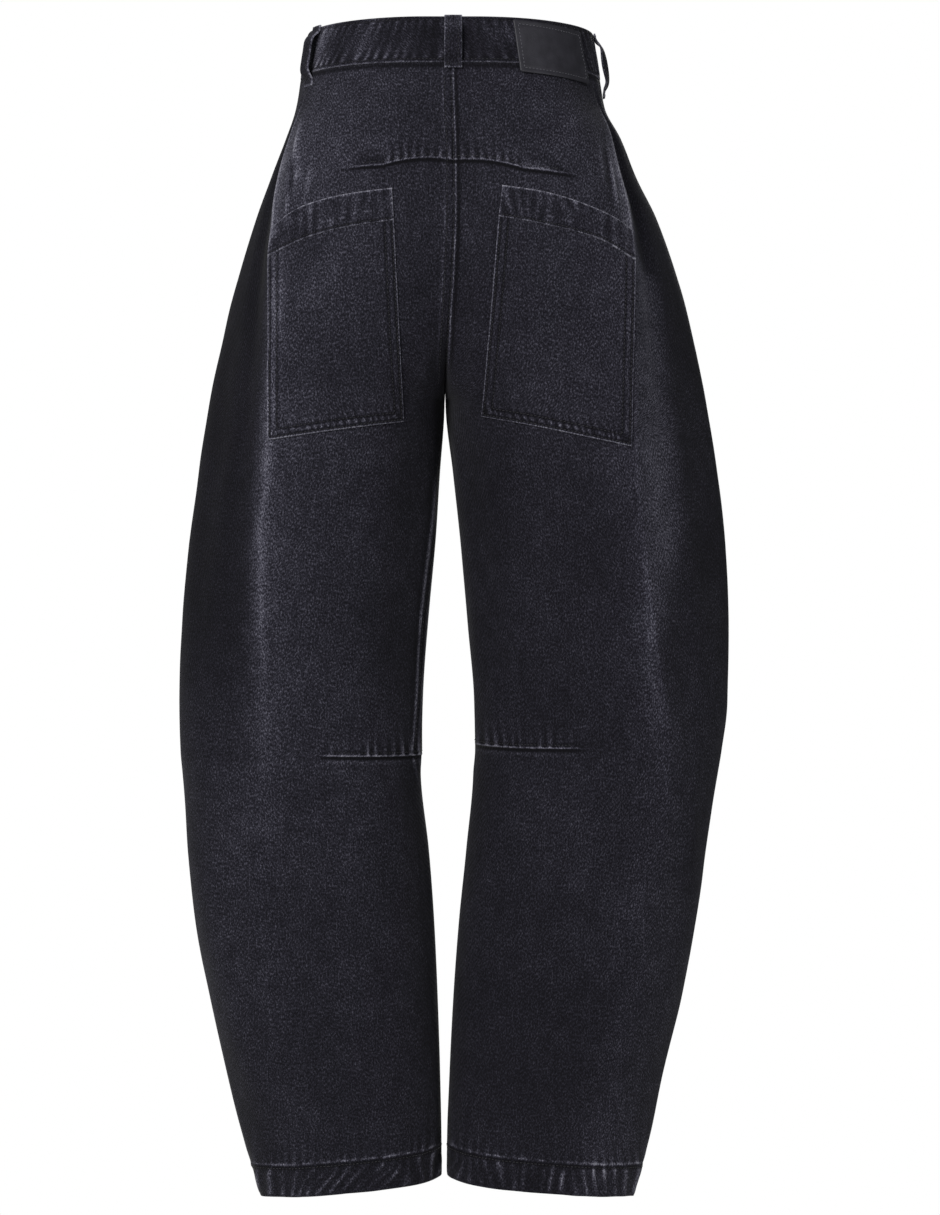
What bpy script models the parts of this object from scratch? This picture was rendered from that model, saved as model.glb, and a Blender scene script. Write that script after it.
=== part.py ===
"""Barrel-leg jeans in their worn, filled-out form.

The origin is the middle of the waist, level with the waistband's top edge. The back faces -Y and the front +Y.
Left and right are the wearer's, with left at -X. Sizes below are in millimetres and MM turns them into metres.
"""

import math

import bmesh
import bpy
import numpy as np

MM = 0.001
LEFT, RIGHT = -1, 1
SIDE_NAMES = {LEFT: "left", RIGHT: "right"}
BACK, FRONT = -1, 1

# Cloth and seams
CLOTH = 2.0
SEAM_GAP = 0.3
LAY_GAP = 0.3
HEM_CLOTH = 3.6

# Waistband and patch
BAND_HEIGHT = 39.7
BAND_INNER = 2.0
BAND_PROUD = 1.0
BAND_CELLS = 56
UNDERLAP = 30.0
OVERLAP = 6.0
LAP_STEP = 3.4
LAP_RUN = 12.0

# Heights of the panels' marked rows at their inner and outer edges
PANEL_TOP = -40.0
CROTCH = -322.0
CROTCH_OUTER = -371.0
INSEAM_Y = 5.0
BACK_CURVE_TOP = -180.0
FRONT_CURVE_TOP = -150.0
CLEFT_TOP = -200.0
YOKE_DART = {LEFT: (-124.0, -136.0), RIGHT: (-124.0, -141.0)}
KNEE_DART = {LEFT: (-632.0, -628.0), RIGHT: (-622.5, -626.0)}
YOKE_DART_TIP = {LEFT: 1.22, RIGHT: 1.28}
KNEE_DART_TIP = {LEFT: 0.91, RIGHT: 0.95}
DART_STEP = 1.3
DART_RUN = 1.6
DART_FADE = 24.0
HEM_BOTTOM = (-1001.0, -1021.0)
HEM_DEPTH = 28.0
HEM_RUN = 2.0

# A section runs from the middle seam, 0, by its fullest point, 1, and its ridge, 1.5, to its outermost point, 2.
# The outseam lies just past the outermost point, on the front.
OUTSEAM = 2.12
BACK_COLUMNS = (0, 0.17, 0.34, 0.5, 0.67, 0.84, 1, 1.17, 1.34, 1.5, 1.6, 1.7, 1.8, 1.9, 2, OUTSEAM)
FRONT_COLUMNS = (0, 0.2, 0.4, 0.6, 0.8, 1, 1.25, 1.5, 1.62, 1.75, 4 - OUTSEAM)

# One row for each height z. left and right are the outline's half widths, middle is the x of the middle seam,
# gap is half the space between the legs, back and front are the fullest depths, full is the fullest point's
# distance from the middle, seam_back and seam_front are the depths at the middle seam, ridge_left and ridge_right
# place the ridge, and corner says how sharply the cloth turns there.
SECTION_COLUMNS = ("z", "left", "right", "middle", "gap", "back", "front", "full", "seam_back", "seam_front",
                   "ridge_left", "ridge_right", "corner")
SECTIONS = (
    (0, 124.5, 124.5, 0.7, 0, 100, 100, 18, 100, 100, 96, 96, 0),
    (-40, 131, 131, 0.8, 0, 104, 104, 25, 104, 104, 116, 116, 0.15),
    (-65, 135.1, 135.1, 1.2, 0, 107, 105, 36, 106, 104.5, 126.5, 127, 0.4),
    (-92, 144, 149.2, 2.3, 0, 111, 106, 46, 108, 105, 136, 137, 0.8),
    (-127, 158, 164.1, 3.2, 0, 115, 106, 58, 109.5, 104, 145.5, 144, 1),
    (-162, 171.2, 181.7, 3.2, 0, 118, 105, 66, 110, 103, 151, 152, 1),
    (-215, 187, 200.2, 1.5, 0, 118, 104, 76, 110, 103, 153, 157, 1),
    (-268, 200.2, 213.4, -2.2, 0, 112, 102, 88, 110, 103, 154, 157, 1),
    (-322, 211, 225, -4.8, 0.2, 105, 99, 100, 110, 103, 155, 157.5, 1),
    (-386, 221.3, 235.4, -3.5, 5.7, 99, 97, 110, 110, 103, 158, 160, 1),
    (-452, 231, 242.4, -2.2, 11.4, 95, 95, 120, 110, 103, 163, 166.5, 1),
    (-518, 236.3, 244.2, -2.4, 17.4, 92, 94, 127, 110, 103, 162.5, 175, 0.9),
    (-584, 238, 243.3, -1.8, 22.4, 88, 93, 131, 110, 103, 158, 184, 0.7),
    (-628, 237.2, 238, -1.8, 23.3, 85, 91, 131, 110, 103, 158, 188, 0.45),
    (-650, 235.4, 234.5, -3.1, 22.9, 84, 90, 130, 110, 103, 160, 187, 0.35),
    (-716, 231, 224.8, -2.6, 16.3, 81, 86, 125, 110, 103, 168, 184, 0.3),
    (-782, 224, 215.2, -3.5, 10.5, 77, 80, 118, 110, 103, 171, 175, 0.3),
    (-848, 211.6, 202.8, -4.4, 6.6, 72, 72, 108, 110, 103, 165, 163, 0.3),
    (-914, 195.8, 186.1, -5.0, 3.9, 64, 62, 97, 110, 103, 152, 149, 0.3),
    (-980, 179.1, 172, -5.5, 2.2, 53, 51, 88, 110, 103, 139, 137, 0.2),
    (-1021, 166.8, 159.7, -5.3, 2.2, 46, 45, 82, 110, 103, 130, 127, 0),
)
RIDGE_LIFT = 0.06
RIDGE_FLATTEN = 0.4
RIDGE_SWING = 0.35
FRONT_CORNER = 0.5

# One row for each large fold: which panels it crosses, its ends, its place along the section at each end, its
# height (below 0 for a trough) and its spread along the section.
FOLD_COLUMNS = ("side", "half", "z_top", "z_bottom", "at_top", "at_bottom", "height", "spread")
FOLDS = (
    (LEFT, BACK, -60, -190, 1.44, 1.36, 2.5, 0.06),
    (RIGHT, BACK, -100, -185, 1.72, 1.6, -3.0, 0.07),
    (LEFT, BACK, -230, -560, 1.74, 1.78, -4.0, 0.12),
    (RIGHT, BACK, -240, -540, 1.72, 1.8, -4.0, 0.12),
    (LEFT, BACK, -330, -600, 0.3, 0.42, -3.0, 0.14),
    (RIGHT, BACK, -330, -590, 0.32, 0.4, -3.0, 0.14),
    (RIGHT, BACK, -560, -760, 1.5, 1.72, 3.0, 0.1),
    (LEFT, BACK, -650, -900, 1.3, 1.1, -3.0, 0.16),
    (RIGHT, BACK, -650, -900, 1.2, 1.05, -3.0, 0.16),
    (LEFT, BACK, -700, -960, 1.72, 1.6, 2.5, 0.12),
    (LEFT, FRONT, -200, -520, 1.7, 1.74, -4.0, 0.14),
    (RIGHT, FRONT, -200, -520, 1.7, 1.74, -4.0, 0.14),
    (LEFT, FRONT, -600, -900, 1.1, 0.9, -3.0, 0.18),
    (RIGHT, FRONT, -600, -900, 1.1, 0.9, -3.0, 0.18),
)
FOLD_FADE = 60.0

# Patch pockets: lines of (x, z) points, each from the pocket's inner edge to its outer edge
POCKET_CLOTH = 1.4
POCKET_BAND_CLOTH = 2.2
POCKET_TOP = {
    LEFT: ((-48.5, -148.0), (-89.0, -153.5), (-126.0, -162.5), (-151.0, -178.0)),
    RIGHT: ((44.5, -145.5), (83.5, -152.0), (117.5, -162.5), (145.0, -175.0), (154.0, -182.0)),
}
POCKET_SEAM = {
    LEFT: ((-47.0, -175.5), (-89.0, -182.0), (-123.0, -190.5), (-153.5, -203.5)),
    RIGHT: ((41.5, -172.0), (83.5, -180.0), (124.5, -190.5), (156.5, -207.5)),
}
POCKET_BOTTOM = {
    LEFT: ((-39.5, -343.5), (-155.0, -360.5)),
    RIGHT: ((27.5, -339.0), (155.0, -366.0)),
}

# Fly
FLY_WIDTH = 38.0
FLY_BOTTOM = -206.0
FLY_ROUND = 30.0
FLY_CLOTH = 1.4

# Patch: its inner and outer edges' places on the waist (as ring_surface has them) at its top and its lower end,
# the height of its top, its own height and how far its outer end drops
PATCH_INNER = (1.195, 1.135)
PATCH_OUTER = (1.63, 1.465)
PATCH_TOP = -1.6
PATCH_HEIGHT = 46.0
PATCH_DROP = 4.1
PATCH_THICK = 1.5
PATCH_GAP = 0.5

# Belt loops: place round the waistband as a share of its length from centre back towards the wearer's right,
# the clear space under the strap and the height of its lower end
LOOP_WIDTH = 15.0
LOOP_THICK = 1.7
LOOP_TOP = 0.5
LOOP_FOOT = 6.0
LOOP_RISE = 7.0
LOOPS = (
    ("belt_loop_back", 0.003, 5.5, -44.5),
    ("belt_loop_right", 0.25, 5.5, -54.5),
    ("belt_loop_front_right", 0.427, 7.0, -44.5),
    ("belt_loop_front_left", 0.573, 7.0, -44.5),
    ("belt_loop_left", 0.813, 6.7, -52.0),
)

# Button
BUTTON_RADIUS = 8.5
BUTTON_THICK = 3.0
BUTTON_X = -9.0
BUTTON_Z = -20.0

DENIM = (0.021, 0.020, 0.025)
DENIM_PALE = (0.030, 0.029, 0.035)
LEATHER = (0.022, 0.021, 0.027)
METAL = (0.16, 0.14, 0.12)


def clear_scene():
    for thing in list(bpy.data.objects):
        bpy.data.objects.remove(thing, do_unlink=True)


def make_material(name, colour, roughness, metallic=0.0):
    material = bpy.data.materials.new(name)
    material.use_nodes = True
    shader = material.node_tree.nodes["Principled BSDF"]
    shader.inputs["Base Color"].default_value = (*colour, 1.0)
    shader.inputs["Roughness"].default_value = roughness
    shader.inputs["Metallic"].default_value = metallic
    return material


def smooth_step(value):
    value = np.clip(value, 0.0, 1.0)
    return value * value * (3.0 - 2.0 * value)


def smooth_column(heights, values, z):
    """A table column read at heights z, through cubic pieces that never swing past the rows."""
    runs = np.diff(heights)
    slopes = np.diff(values) / runs
    ends = np.zeros(len(values))
    ends[0], ends[-1] = slopes[0], slopes[-1]
    same = slopes[:-1] * slopes[1:] > 0
    safe = np.where(same, slopes[:-1] + slopes[1:], 1.0)
    ends[1:-1] = np.where(same, 2.0 * slopes[:-1] * slopes[1:] / safe, 0.0)
    z = np.clip(z, heights[0], heights[-1])
    i = np.clip(np.searchsorted(heights, z, side="right") - 1, 0, len(runs) - 1)
    run = runs[i]
    t = (z - heights[i]) / run
    return (values[i] * (1 + 2 * t) * (1 - t) ** 2 + values[i + 1] * t * t * (3 - 2 * t)
            + run * (ends[i] * t * (1 - t) ** 2 + ends[i + 1] * t * t * (t - 1)))


def read_section(z):
    """Each column of the section table at heights z."""
    table = np.array(SECTIONS[::-1], float)
    heights = table[:, 0]
    return {name: smooth_column(heights, table[:, i], z) for i, name in enumerate(SECTION_COLUMNS) if i}


def bezier(start, pull, end, t):
    return start * (1 - t) ** 2 + 2 * pull * t * (1 - t) + end * t * t


def seam_depth(row, z, half):
    """How far back or forward the middle seam lies: down the seat, under the crotch, then down the inseam."""
    top, column = (BACK_CURVE_TOP, "seam_back") if half == BACK else (FRONT_CURVE_TOP, "seam_front")
    turned = np.clip((top - z) / (top - CROTCH), 0.0, 1.0)
    return INSEAM_Y + (half * row[column] - INSEAM_Y) * np.sqrt(1.0 - turned ** 2)


def half_ring(z, s, side, half):
    """The point of one half section at height z and place s, from the middle seam, 0, to the outermost point, 2."""
    row = read_section(z)
    seam_y = seam_depth(row, z, half)
    full_y = half * row["back" if half == BACK else "front"]
    full, gap = row["full"], row["gap"]
    out = row[SIDE_NAMES[side]] - side * row["middle"]
    ridge = row["ridge_" + SIDE_NAMES[side]] - side * row["middle"]
    corner = row["corner"] * (1.0 if half == BACK else FRONT_CORNER)

    turn = np.clip(s, 0, 1) * math.pi / 2
    cleft = smooth_step((CLEFT_TOP - z) / (CLEFT_TOP - CROTCH))
    dip_x = gap + (full - gap) * np.clip(s, 0, 1)
    dip_y = seam_y + (full_y - seam_y) * (1 - np.cos(2 * turn)) / 2
    leg_x = gap + (full - gap) * (1 - np.cos(turn))
    leg_y = seam_y + (full_y - seam_y) * np.sin(turn)
    inner_x = dip_x + (leg_x - dip_x) * cleft
    inner_y = dip_y + (leg_y - dip_y) * cleft

    reach = out - full
    angle = np.arcsin(np.clip((ridge - full) / reach, 0.05, 0.97))
    ridge_y = full_y * np.minimum(np.cos(angle) + corner * RIDGE_LIFT, 0.985)
    pull_x = full + reach * (np.tan(angle / 2) + RIDGE_SWING * corner * (np.sin(angle) - np.tan(angle / 2)))
    pull_y = full_y * np.tan(math.pi / 4 - angle / 2) * (1 - RIDGE_FLATTEN * corner)
    t_flat = np.clip((s - 1) * 2, 0, 1)
    t_wing = np.clip((s - 1.5) * 2, 0, 1)
    flat_x = bezier(full, pull_x, ridge, t_flat)
    flat_y = bezier(full_y, full_y, ridge_y, t_flat)
    wing_x = bezier(ridge, out, out, t_wing)
    wing_y = bezier(ridge_y, pull_y, 0.0, t_wing)

    x = np.where(s < 1, inner_x, np.where(s < 1.5, flat_x, wing_x))
    y = np.where(s < 1, inner_y, np.where(s < 1.5, flat_y, wing_y))
    return row["middle"] + side * x, y


def plain_surface(z, s, side, half):
    """The cloth's outer face with no folds. Places past 2 go on round into the other half."""
    near_x, near_y = half_ring(z, np.minimum(s, 2.0), side, half)
    far_x, far_y = half_ring(z, np.minimum(4.0 - s, 2.0), side, -half)
    past = s > 2
    return np.stack([np.where(past, far_x, near_x), np.where(past, far_y, near_y), z], axis=-1)


def unit_normals(surface, rows, s, side, half):
    """Unit normals of a surface function that point out of the leg."""
    step = 0.01
    low = np.maximum(s - step, 0.0)
    along = surface(rows, s + step) - surface(rows, low)
    down = surface(rows - 1.0, s) - surface(rows + 1.0, s)
    normals = np.cross(along, down) * (side * half)
    return normals / np.linalg.norm(normals, axis=-1, keepdims=True)


def fold_height(z, s, side, half):
    """How far the large folds lift the cloth off its plain form."""
    height = np.zeros(np.broadcast(z, s).shape)
    for fold in FOLDS:
        row = dict(zip(FOLD_COLUMNS, fold))
        if (row["side"], row["half"]) != (side, half):
            continue
        share = (row["z_top"] - z) / (row["z_top"] - row["z_bottom"])
        place = row["at_top"] + (row["at_bottom"] - row["at_top"]) * share
        ends = smooth_step((row["z_top"] - z) / FOLD_FADE) * smooth_step((z - row["z_bottom"]) / FOLD_FADE)
        height += row["height"] * ends * np.exp(-((s - place) / row["spread"]) ** 2)
    return height


def dart_height(z, share, s, side):
    """The small step of each dart's upper edge over its lower one, fading up the cloth and to the dart's tip."""
    height = np.zeros(np.broadcast(z, s).shape)
    for line, tip in ((YOKE_DART, YOKE_DART_TIP), (KNEE_DART, KNEE_DART_TIP)):
        inner, outer = line[side]
        above = z - (inner + (outer - inner) * share)
        step = smooth_step(above / DART_RUN + 0.5) * np.exp(-np.maximum(above, 0) / DART_FADE)
        height += DART_STEP * step * smooth_step((tip[side] - s) / 0.3)
    return height


def seam_rows(start, end, cells, side, half):
    """Heights between two rows of the middle seam, even along the seam itself."""
    z = np.linspace(start, end, 400)
    x, y = half_ring(z, np.zeros_like(z), side, half)
    run = np.concatenate([[0], np.cumsum(np.hypot(np.hypot(np.diff(x), np.diff(y)), np.diff(z)))])
    return np.interp(np.linspace(0, run[-1], cells + 1), run, z)


def panel_rows(side, half):
    """Heights of a panel's rows at its inner and outer edges, even between the marked rows."""
    yoke, knee = YOKE_DART[side], KNEE_DART[side]
    hem_top = (HEM_BOTTOM[0] + HEM_DEPTH, HEM_BOTTOM[1] + HEM_DEPTH)
    marks = [
        (PANEL_TOP, PANEL_TOP, 4),
        (yoke[0] + DART_RUN / 2, yoke[1] + DART_RUN / 2, 1),
        (yoke[0] - DART_RUN / 2, yoke[1] - DART_RUN / 2, 10),
        (CROTCH, CROTCH_OUTER, 11),
        (knee[0] + DART_RUN / 2, knee[1] + DART_RUN / 2, 1),
        (knee[0] - DART_RUN / 2, knee[1] - DART_RUN / 2, 12),
        (hem_top[0] + HEM_RUN / 2, hem_top[1] + HEM_RUN / 2, 1),
        (hem_top[0] - HEM_RUN / 2, hem_top[1] - HEM_RUN / 2, 1),
        (*HEM_BOTTOM, 0),
    ]
    inner, outer = [marks[0][0]], [marks[0][1]]
    for (z_in, z_out, cells), (next_in, next_out, _) in zip(marks, marks[1:]):
        inner.extend(seam_rows(z_in, next_in, cells, side, half)[1:])
        outer.extend(np.linspace(z_out, next_out, cells + 1)[1:])
    return np.array(inner), np.array(outer)


def panel_grid(side, half):
    """A panel's outer face as a grid of points and normals, with the wall's thickness at each point."""
    columns = np.array(BACK_COLUMNS if half == BACK else FRONT_COLUMNS, float)
    inner, outer = panel_rows(side, half)
    share = columns / columns[-1]
    z = outer[:, None] + (inner - outer)[:, None] * (1 - share)[None, :]
    s = np.broadcast_to(columns, z.shape)
    points = plain_surface(z, s, side, half)
    normals = unit_normals(lambda rows, at: plain_surface(rows, at, side, half), z, s, side, half)
    height = fold_height(z, s, side, half)
    if half == BACK:
        height = height + dart_height(z, share[None, :], s, side)
    points = points + normals * height[..., None]
    normals[0] = level(normals[0])
    points[..., 0] += side * SEAM_GAP / 2
    points[..., 1] += half * SEAM_GAP / 2
    thick = np.full(z.shape, CLOTH)
    thick[-2:] = HEM_CLOTH
    return points, normals, thick


def level(normals):
    """Normals laid level, so that an edge made along them stays at one height."""
    flat = normals * (1.0, 1.0, 0.0)
    return flat / np.linalg.norm(flat, axis=-1, keepdims=True)


def grid_faces(rows, columns):
    faces = []
    for j in range(rows - 1):
        for i in range(columns - 1):
            a, b = j * columns + i, j * columns + i + 1
            c, d = a + columns, b + columns
            faces.extend(((a, b, d), (a, d, c)))
    return faces


def thicken(name, points, normals, faces, low, high, material):
    """A closed wall between two offsets, low and high, of an open surface."""
    count = len(points)
    low = np.broadcast_to(np.asarray(low, float), (count,))[:, None]
    high = np.broadcast_to(np.asarray(high, float), (count,))[:, None]
    corners = np.concatenate([points + normals * high, points + normals * low]) * MM
    edges = {}
    for face in faces:
        for a, b in zip(face, face[1:] + face[:1]):
            edges[(a, b)] = edges.get((a, b), 0) + 1
    wall = [tuple(face) for face in faces]
    wall += [tuple(i + count for i in reversed(face)) for face in faces]
    for a, b in edges:
        if (b, a) not in edges:
            wall.extend(((b, a, a + count), (b, a + count, b + count)))
    mesh = bpy.data.meshes.new(name)
    mesh.from_pydata([tuple(map(float, corner)) for corner in corners], [], wall)
    mesh.validate()
    return finish_mesh(name, mesh, material)


def finish_mesh(name, mesh, material):
    """An object of the mesh, with its faces turned out and shaded smooth up to a sharp edge."""
    work = bmesh.new()
    work.from_mesh(mesh)
    bmesh.ops.recalc_face_normals(work, faces=work.faces[:])
    work.to_mesh(mesh)
    work.free()
    mesh.shade_smooth()
    mesh.set_sharp_from_angle(angle=math.radians(35))
    mesh.materials.append(material)
    thing = bpy.data.objects.new(name, mesh)
    bpy.context.scene.collection.objects.link(thing)
    return thing


def make_panel(side, half):
    points, normals, thick = panel_grid(side, half)
    rows, columns = thick.shape
    name = ("back_" if half == BACK else "front_") + SIDE_NAMES[side]
    material = make_material(name + "_denim", DENIM, 0.85)
    return thicken(name, points.reshape(-1, 3), normals.reshape(-1, 3), grid_faces(rows, columns),
                   -thick.reshape(-1), 0.0, material)


def inside(outline, x, z):
    """Whether a point lies inside a closed outline of (x, z) corners."""
    odd = False
    for (x1, z1), (x2, z2) in zip(outline, outline[1:] + outline[:1]):
        if (z1 > z) != (z2 > z) and x < x1 + (z - z1) * (x2 - x1) / (z2 - z1):
            odd = not odd
    return odd


def cut_from_panel(side, half, outline):
    """The part of a panel's outer face inside an outline of (x, z) corners: points, normals and faces."""
    points, normals, _ = panel_grid(side, half)
    rows, columns = points.shape[:2]
    work = bmesh.new()
    layer = work.verts.layers.float_vector.new("out")
    for point, normal in zip(points.reshape(-1, 3), normals.reshape(-1, 3)):
        corner = work.verts.new(point)
        corner[layer] = normal
    work.verts.ensure_lookup_table()
    for face in grid_faces(rows, columns):
        work.faces.new([work.verts[i] for i in face])
    for (x1, z1), (x2, z2) in zip(outline, outline[1:] + outline[:1]):
        everything = work.verts[:] + work.edges[:] + work.faces[:]
        bmesh.ops.bisect_plane(work, geom=everything, dist=1e-3, plane_co=(x1, 0, z1),
                               plane_no=(z2 - z1, 0, x1 - x2))
    outside = [face for face in work.faces
               if not inside(outline, face.calc_center_median().x, face.calc_center_median().z)]
    bmesh.ops.delete(work, geom=outside, context="FACES")
    bmesh.ops.triangulate(work, faces=work.faces[:])
    work.verts.index_update()
    kept = np.array([corner.co[:] for corner in work.verts])
    out = np.array([corner[layer][:] for corner in work.verts])
    faces = [tuple(corner.index for corner in face.verts) for face in work.faces]
    work.free()
    return kept, out, faces


def make_overlay(name, side, half, outline, cloth, colour):
    """A piece of cloth that lies on a panel, inside an outline."""
    kept, out, faces = cut_from_panel(side, half, outline)
    thicken(name, kept, out, faces, LAY_GAP, LAY_GAP + cloth, make_material(name + "_denim", colour, 0.85))


def make_pocket(side):
    """The pocket's body below its band's seam and the thicker folded band above it."""
    below = [(x, z - SEAM_GAP / 2) for x, z in POCKET_SEAM[side]]
    above = [(x, z + SEAM_GAP / 2) for x, z in POCKET_SEAM[side]]
    body = below + list(reversed(POCKET_BOTTOM[side]))
    band = above + list(reversed(POCKET_TOP[side]))
    make_overlay("pocket_" + SIDE_NAMES[side], side, BACK, body, POCKET_CLOTH, DENIM_PALE)
    make_overlay("pocket_band_" + SIDE_NAMES[side], side, BACK, band, POCKET_BAND_CLOTH, DENIM_PALE)


def make_fly():
    """The fly's lapped cloth on the left front: straight down, then rounded in to the middle seam."""
    outline = [(-FLY_WIDTH, PANEL_TOP + 5), (5.0, PANEL_TOP + 5), (5.0, FLY_BOTTOM)]
    for step in range(5):
        turn = math.radians(90 * step / 4)
        outline.append((-FLY_WIDTH + FLY_ROUND * (1 - math.sin(turn)), FLY_BOTTOM + FLY_ROUND * (1 - math.cos(turn))))
    make_overlay("fly", LEFT, FRONT, outline, FLY_CLOTH, DENIM)


def ring_surface(z, p):
    """The waist's outer face at height z and place p: 0 at centre back, 2 right, 4 centre front, 6 left."""
    p = np.mod(p, 8.0)
    z, p = np.broadcast_arrays(np.asarray(z, float), p)
    x, y = half_ring(z, np.clip(p, 0, 2), RIGHT, BACK)
    for start, way, side, half in ((2, -1, RIGHT, FRONT), (4, 1, LEFT, FRONT), (6, -1, LEFT, BACK)):
        s = np.clip(p - start if way > 0 else start + 2 - p, 0, 2)
        part_x, part_y = half_ring(z, s, side, half)
        x, y = np.where(p >= start, part_x, x), np.where(p >= start, part_y, y)
    return np.stack([x, y, z], axis=-1)


def ring_frame(z, p):
    """Outer point, outward normal and tangent (towards the wearer's right from the back) at a place on the waist."""
    step = 0.02
    point = ring_surface(z, p)
    along = ring_surface(z, p + step) - ring_surface(z, p - step)
    down = ring_surface(z - 1.0, p) - ring_surface(z + 1.0, p)
    normal = np.cross(down, along)
    normal /= np.linalg.norm(normal, axis=-1, keepdims=True)
    tangent = along / np.linalg.norm(along, axis=-1, keepdims=True)
    return point, normal, tangent


def ring_lengths():
    """Places round the waist and how far round each lies, half way down the waistband."""
    p = np.linspace(0.0, 8.0, 801)
    run = np.linalg.norm(np.diff(ring_surface(-BAND_HEIGHT / 2, p), axis=0), axis=-1)
    return p, np.concatenate([[0.0], np.cumsum(run)])


def place_at(length):
    """The place p that lies a length round the waist from centre back."""
    p, run = ring_lengths()
    turns = np.floor_divide(length, run[-1])
    return np.interp(length - turns * run[-1], run, p) + 8.0 * turns


def make_waistband():
    """One strip from the underlap at centre front, round by the right side and the back, to the lap on top."""
    whole = ring_lengths()[1][-1]
    length = np.linspace(whole / 2 + UNDERLAP, -whole / 2 - OVERLAP, BAND_CELLS + 1)
    z = np.linspace(0.0, -BAND_HEIGHT, 4)
    point, normal, _ = ring_frame(z[:, None], place_at(length)[None, :])
    normal = level(normal)
    under = smooth_step((length - (whole / 2 - OVERLAP - 3.0 - LAP_RUN)) / LAP_RUN)
    point = point - normal * (LAP_STEP * under)[None, :, None]
    material = make_material("waistband_denim", DENIM, 0.85)
    thicken("waistband", point.reshape(-1, 3), normal.reshape(-1, 3), grid_faces(len(z), len(length)),
            -BAND_INNER, BAND_PROUD, material)


def make_patch():
    """The leather patch: a flat sheet that follows the waistband and hangs past its lower edge."""
    across, down = np.meshgrid(np.linspace(0.0, 1.0, 9), np.linspace(0.0, 1.0, 5))
    inner = PATCH_INNER[0] + (PATCH_INNER[1] - PATCH_INNER[0]) * down
    outer = PATCH_OUTER[0] + (PATCH_OUTER[1] - PATCH_OUTER[0]) * down
    place = inner + (outer - inner) * across
    z = PATCH_TOP - PATCH_HEIGHT * down - PATCH_DROP * across
    held = np.maximum(z, -BAND_HEIGHT)
    point, normal, _ = ring_frame(held, place)
    normal = level(normal)
    slope = ring_surface(-BAND_HEIGHT + 10.0, place) - ring_surface(-BAND_HEIGHT, place)
    point = point + slope * ((z - held) / 10.0)[..., None]
    material = make_material("patch_leather", LEATHER, 0.5)
    thicken("patch", point.reshape(-1, 3), normal.reshape(-1, 3), grid_faces(*z.shape),
            BAND_PROUD + PATCH_GAP, BAND_PROUD + PATCH_GAP + PATCH_THICK, material)


def make_loop(name, share, clear, bottom):
    """A belt loop: a strap whose feet lie on the waistband and whose middle stands clear of it."""
    place = place_at(share * ring_lengths()[1][-1])
    origin, out, tangent = ring_frame(-BAND_HEIGHT / 2, place)
    up = np.cross(tangent, out)
    up *= np.sign(up[2])
    foot = BAND_PROUD + LAY_GAP + LOOP_THICK / 2
    mid = BAND_PROUD + clear + LOOP_THICK / 2
    rise = foot + (mid - foot) * 0.75
    top_end, low_end = LOOP_TOP - LOOP_FOOT, bottom + LOOP_FOOT
    path = np.array(((foot, LOOP_TOP), (foot, top_end), (rise, top_end - LOOP_RISE / 2), (mid, top_end - LOOP_RISE),
                     (mid, (top_end + low_end) / 2), (mid, low_end + LOOP_RISE), (rise, low_end + LOOP_RISE / 2),
                     (foot, low_end), (foot, bottom)))
    way = np.gradient(path, axis=0)
    way /= np.linalg.norm(way, axis=1, keepdims=True)
    points, normals = [], []
    for (off, z), (d_off, d_z) in zip(path, way):
        for across in (-LOOP_WIDTH / 2, 0.0, LOOP_WIDTH / 2):
            points.append(origin + out * off + up * ((z + BAND_HEIGHT / 2) / up[2]) + tangent * across)
            normals.append(-out * d_z + up * d_off)
    thicken(name, np.array(points), np.array(normals), grid_faces(len(path), 3),
            -LOOP_THICK / 2, LOOP_THICK / 2, make_material(name + "_denim", DENIM, 0.85))


def make_button():
    """A domed metal button on the lap at centre front."""
    whole = ring_lengths()[1][-1]
    origin, out, tangent = ring_frame(BUTTON_Z, place_at(whole / 2 - BUTTON_X))
    up = np.cross(tangent, out)
    profile = ((BUTTON_RADIUS - 1.5, 0.0), (BUTTON_RADIUS, 0.9), (BUTTON_RADIUS, 1.9),
               (BUTTON_RADIUS - 1.2, BUTTON_THICK - 0.3), (BUTTON_RADIUS - 3.0, BUTTON_THICK))
    base = origin + out * (BAND_PROUD + LAY_GAP)
    segments = 24
    corners = []
    for radius, height in profile:
        for i in range(segments):
            turn = math.tau * i / segments
            corners.append(base + out * height + (tangent * math.cos(turn) + up * math.sin(turn)) * radius)
    faces = []
    for ring in range(len(profile) - 1):
        for i in range(segments):
            a, b = ring * segments + i, ring * segments + (i + 1) % segments
            faces.append((a, b, b + segments, a + segments))
    faces.append(tuple(range(segments)))
    faces.append(tuple(range(len(corners) - segments, len(corners))))
    mesh = bpy.data.meshes.new("button")
    mesh.from_pydata([tuple(map(float, corner * MM)) for corner in corners], [], faces)
    finish_mesh("button", mesh, make_material("button_metal", METAL, 0.35, 1.0))


def main():
    clear_scene()
    for half in (BACK, FRONT):
        for side in (LEFT, RIGHT):
            make_panel(side, half)
    for side in (LEFT, RIGHT):
        make_pocket(side)
    make_fly()
    make_waistband()
    make_patch()
    for name, share, clear, bottom in LOOPS:
        make_loop(name, share, clear, bottom)
    make_button()


main()
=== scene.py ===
"""Dresses the barrel-leg jeans: fine cloth with its seams, creases and stitches, lights and camera.

Sizes are in millimetres and MM turns them into metres. Left and right are the wearer's, with left at -X,
and the back faces -Y. The section table is the one that the plain solids were made from.
"""

import math

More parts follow.
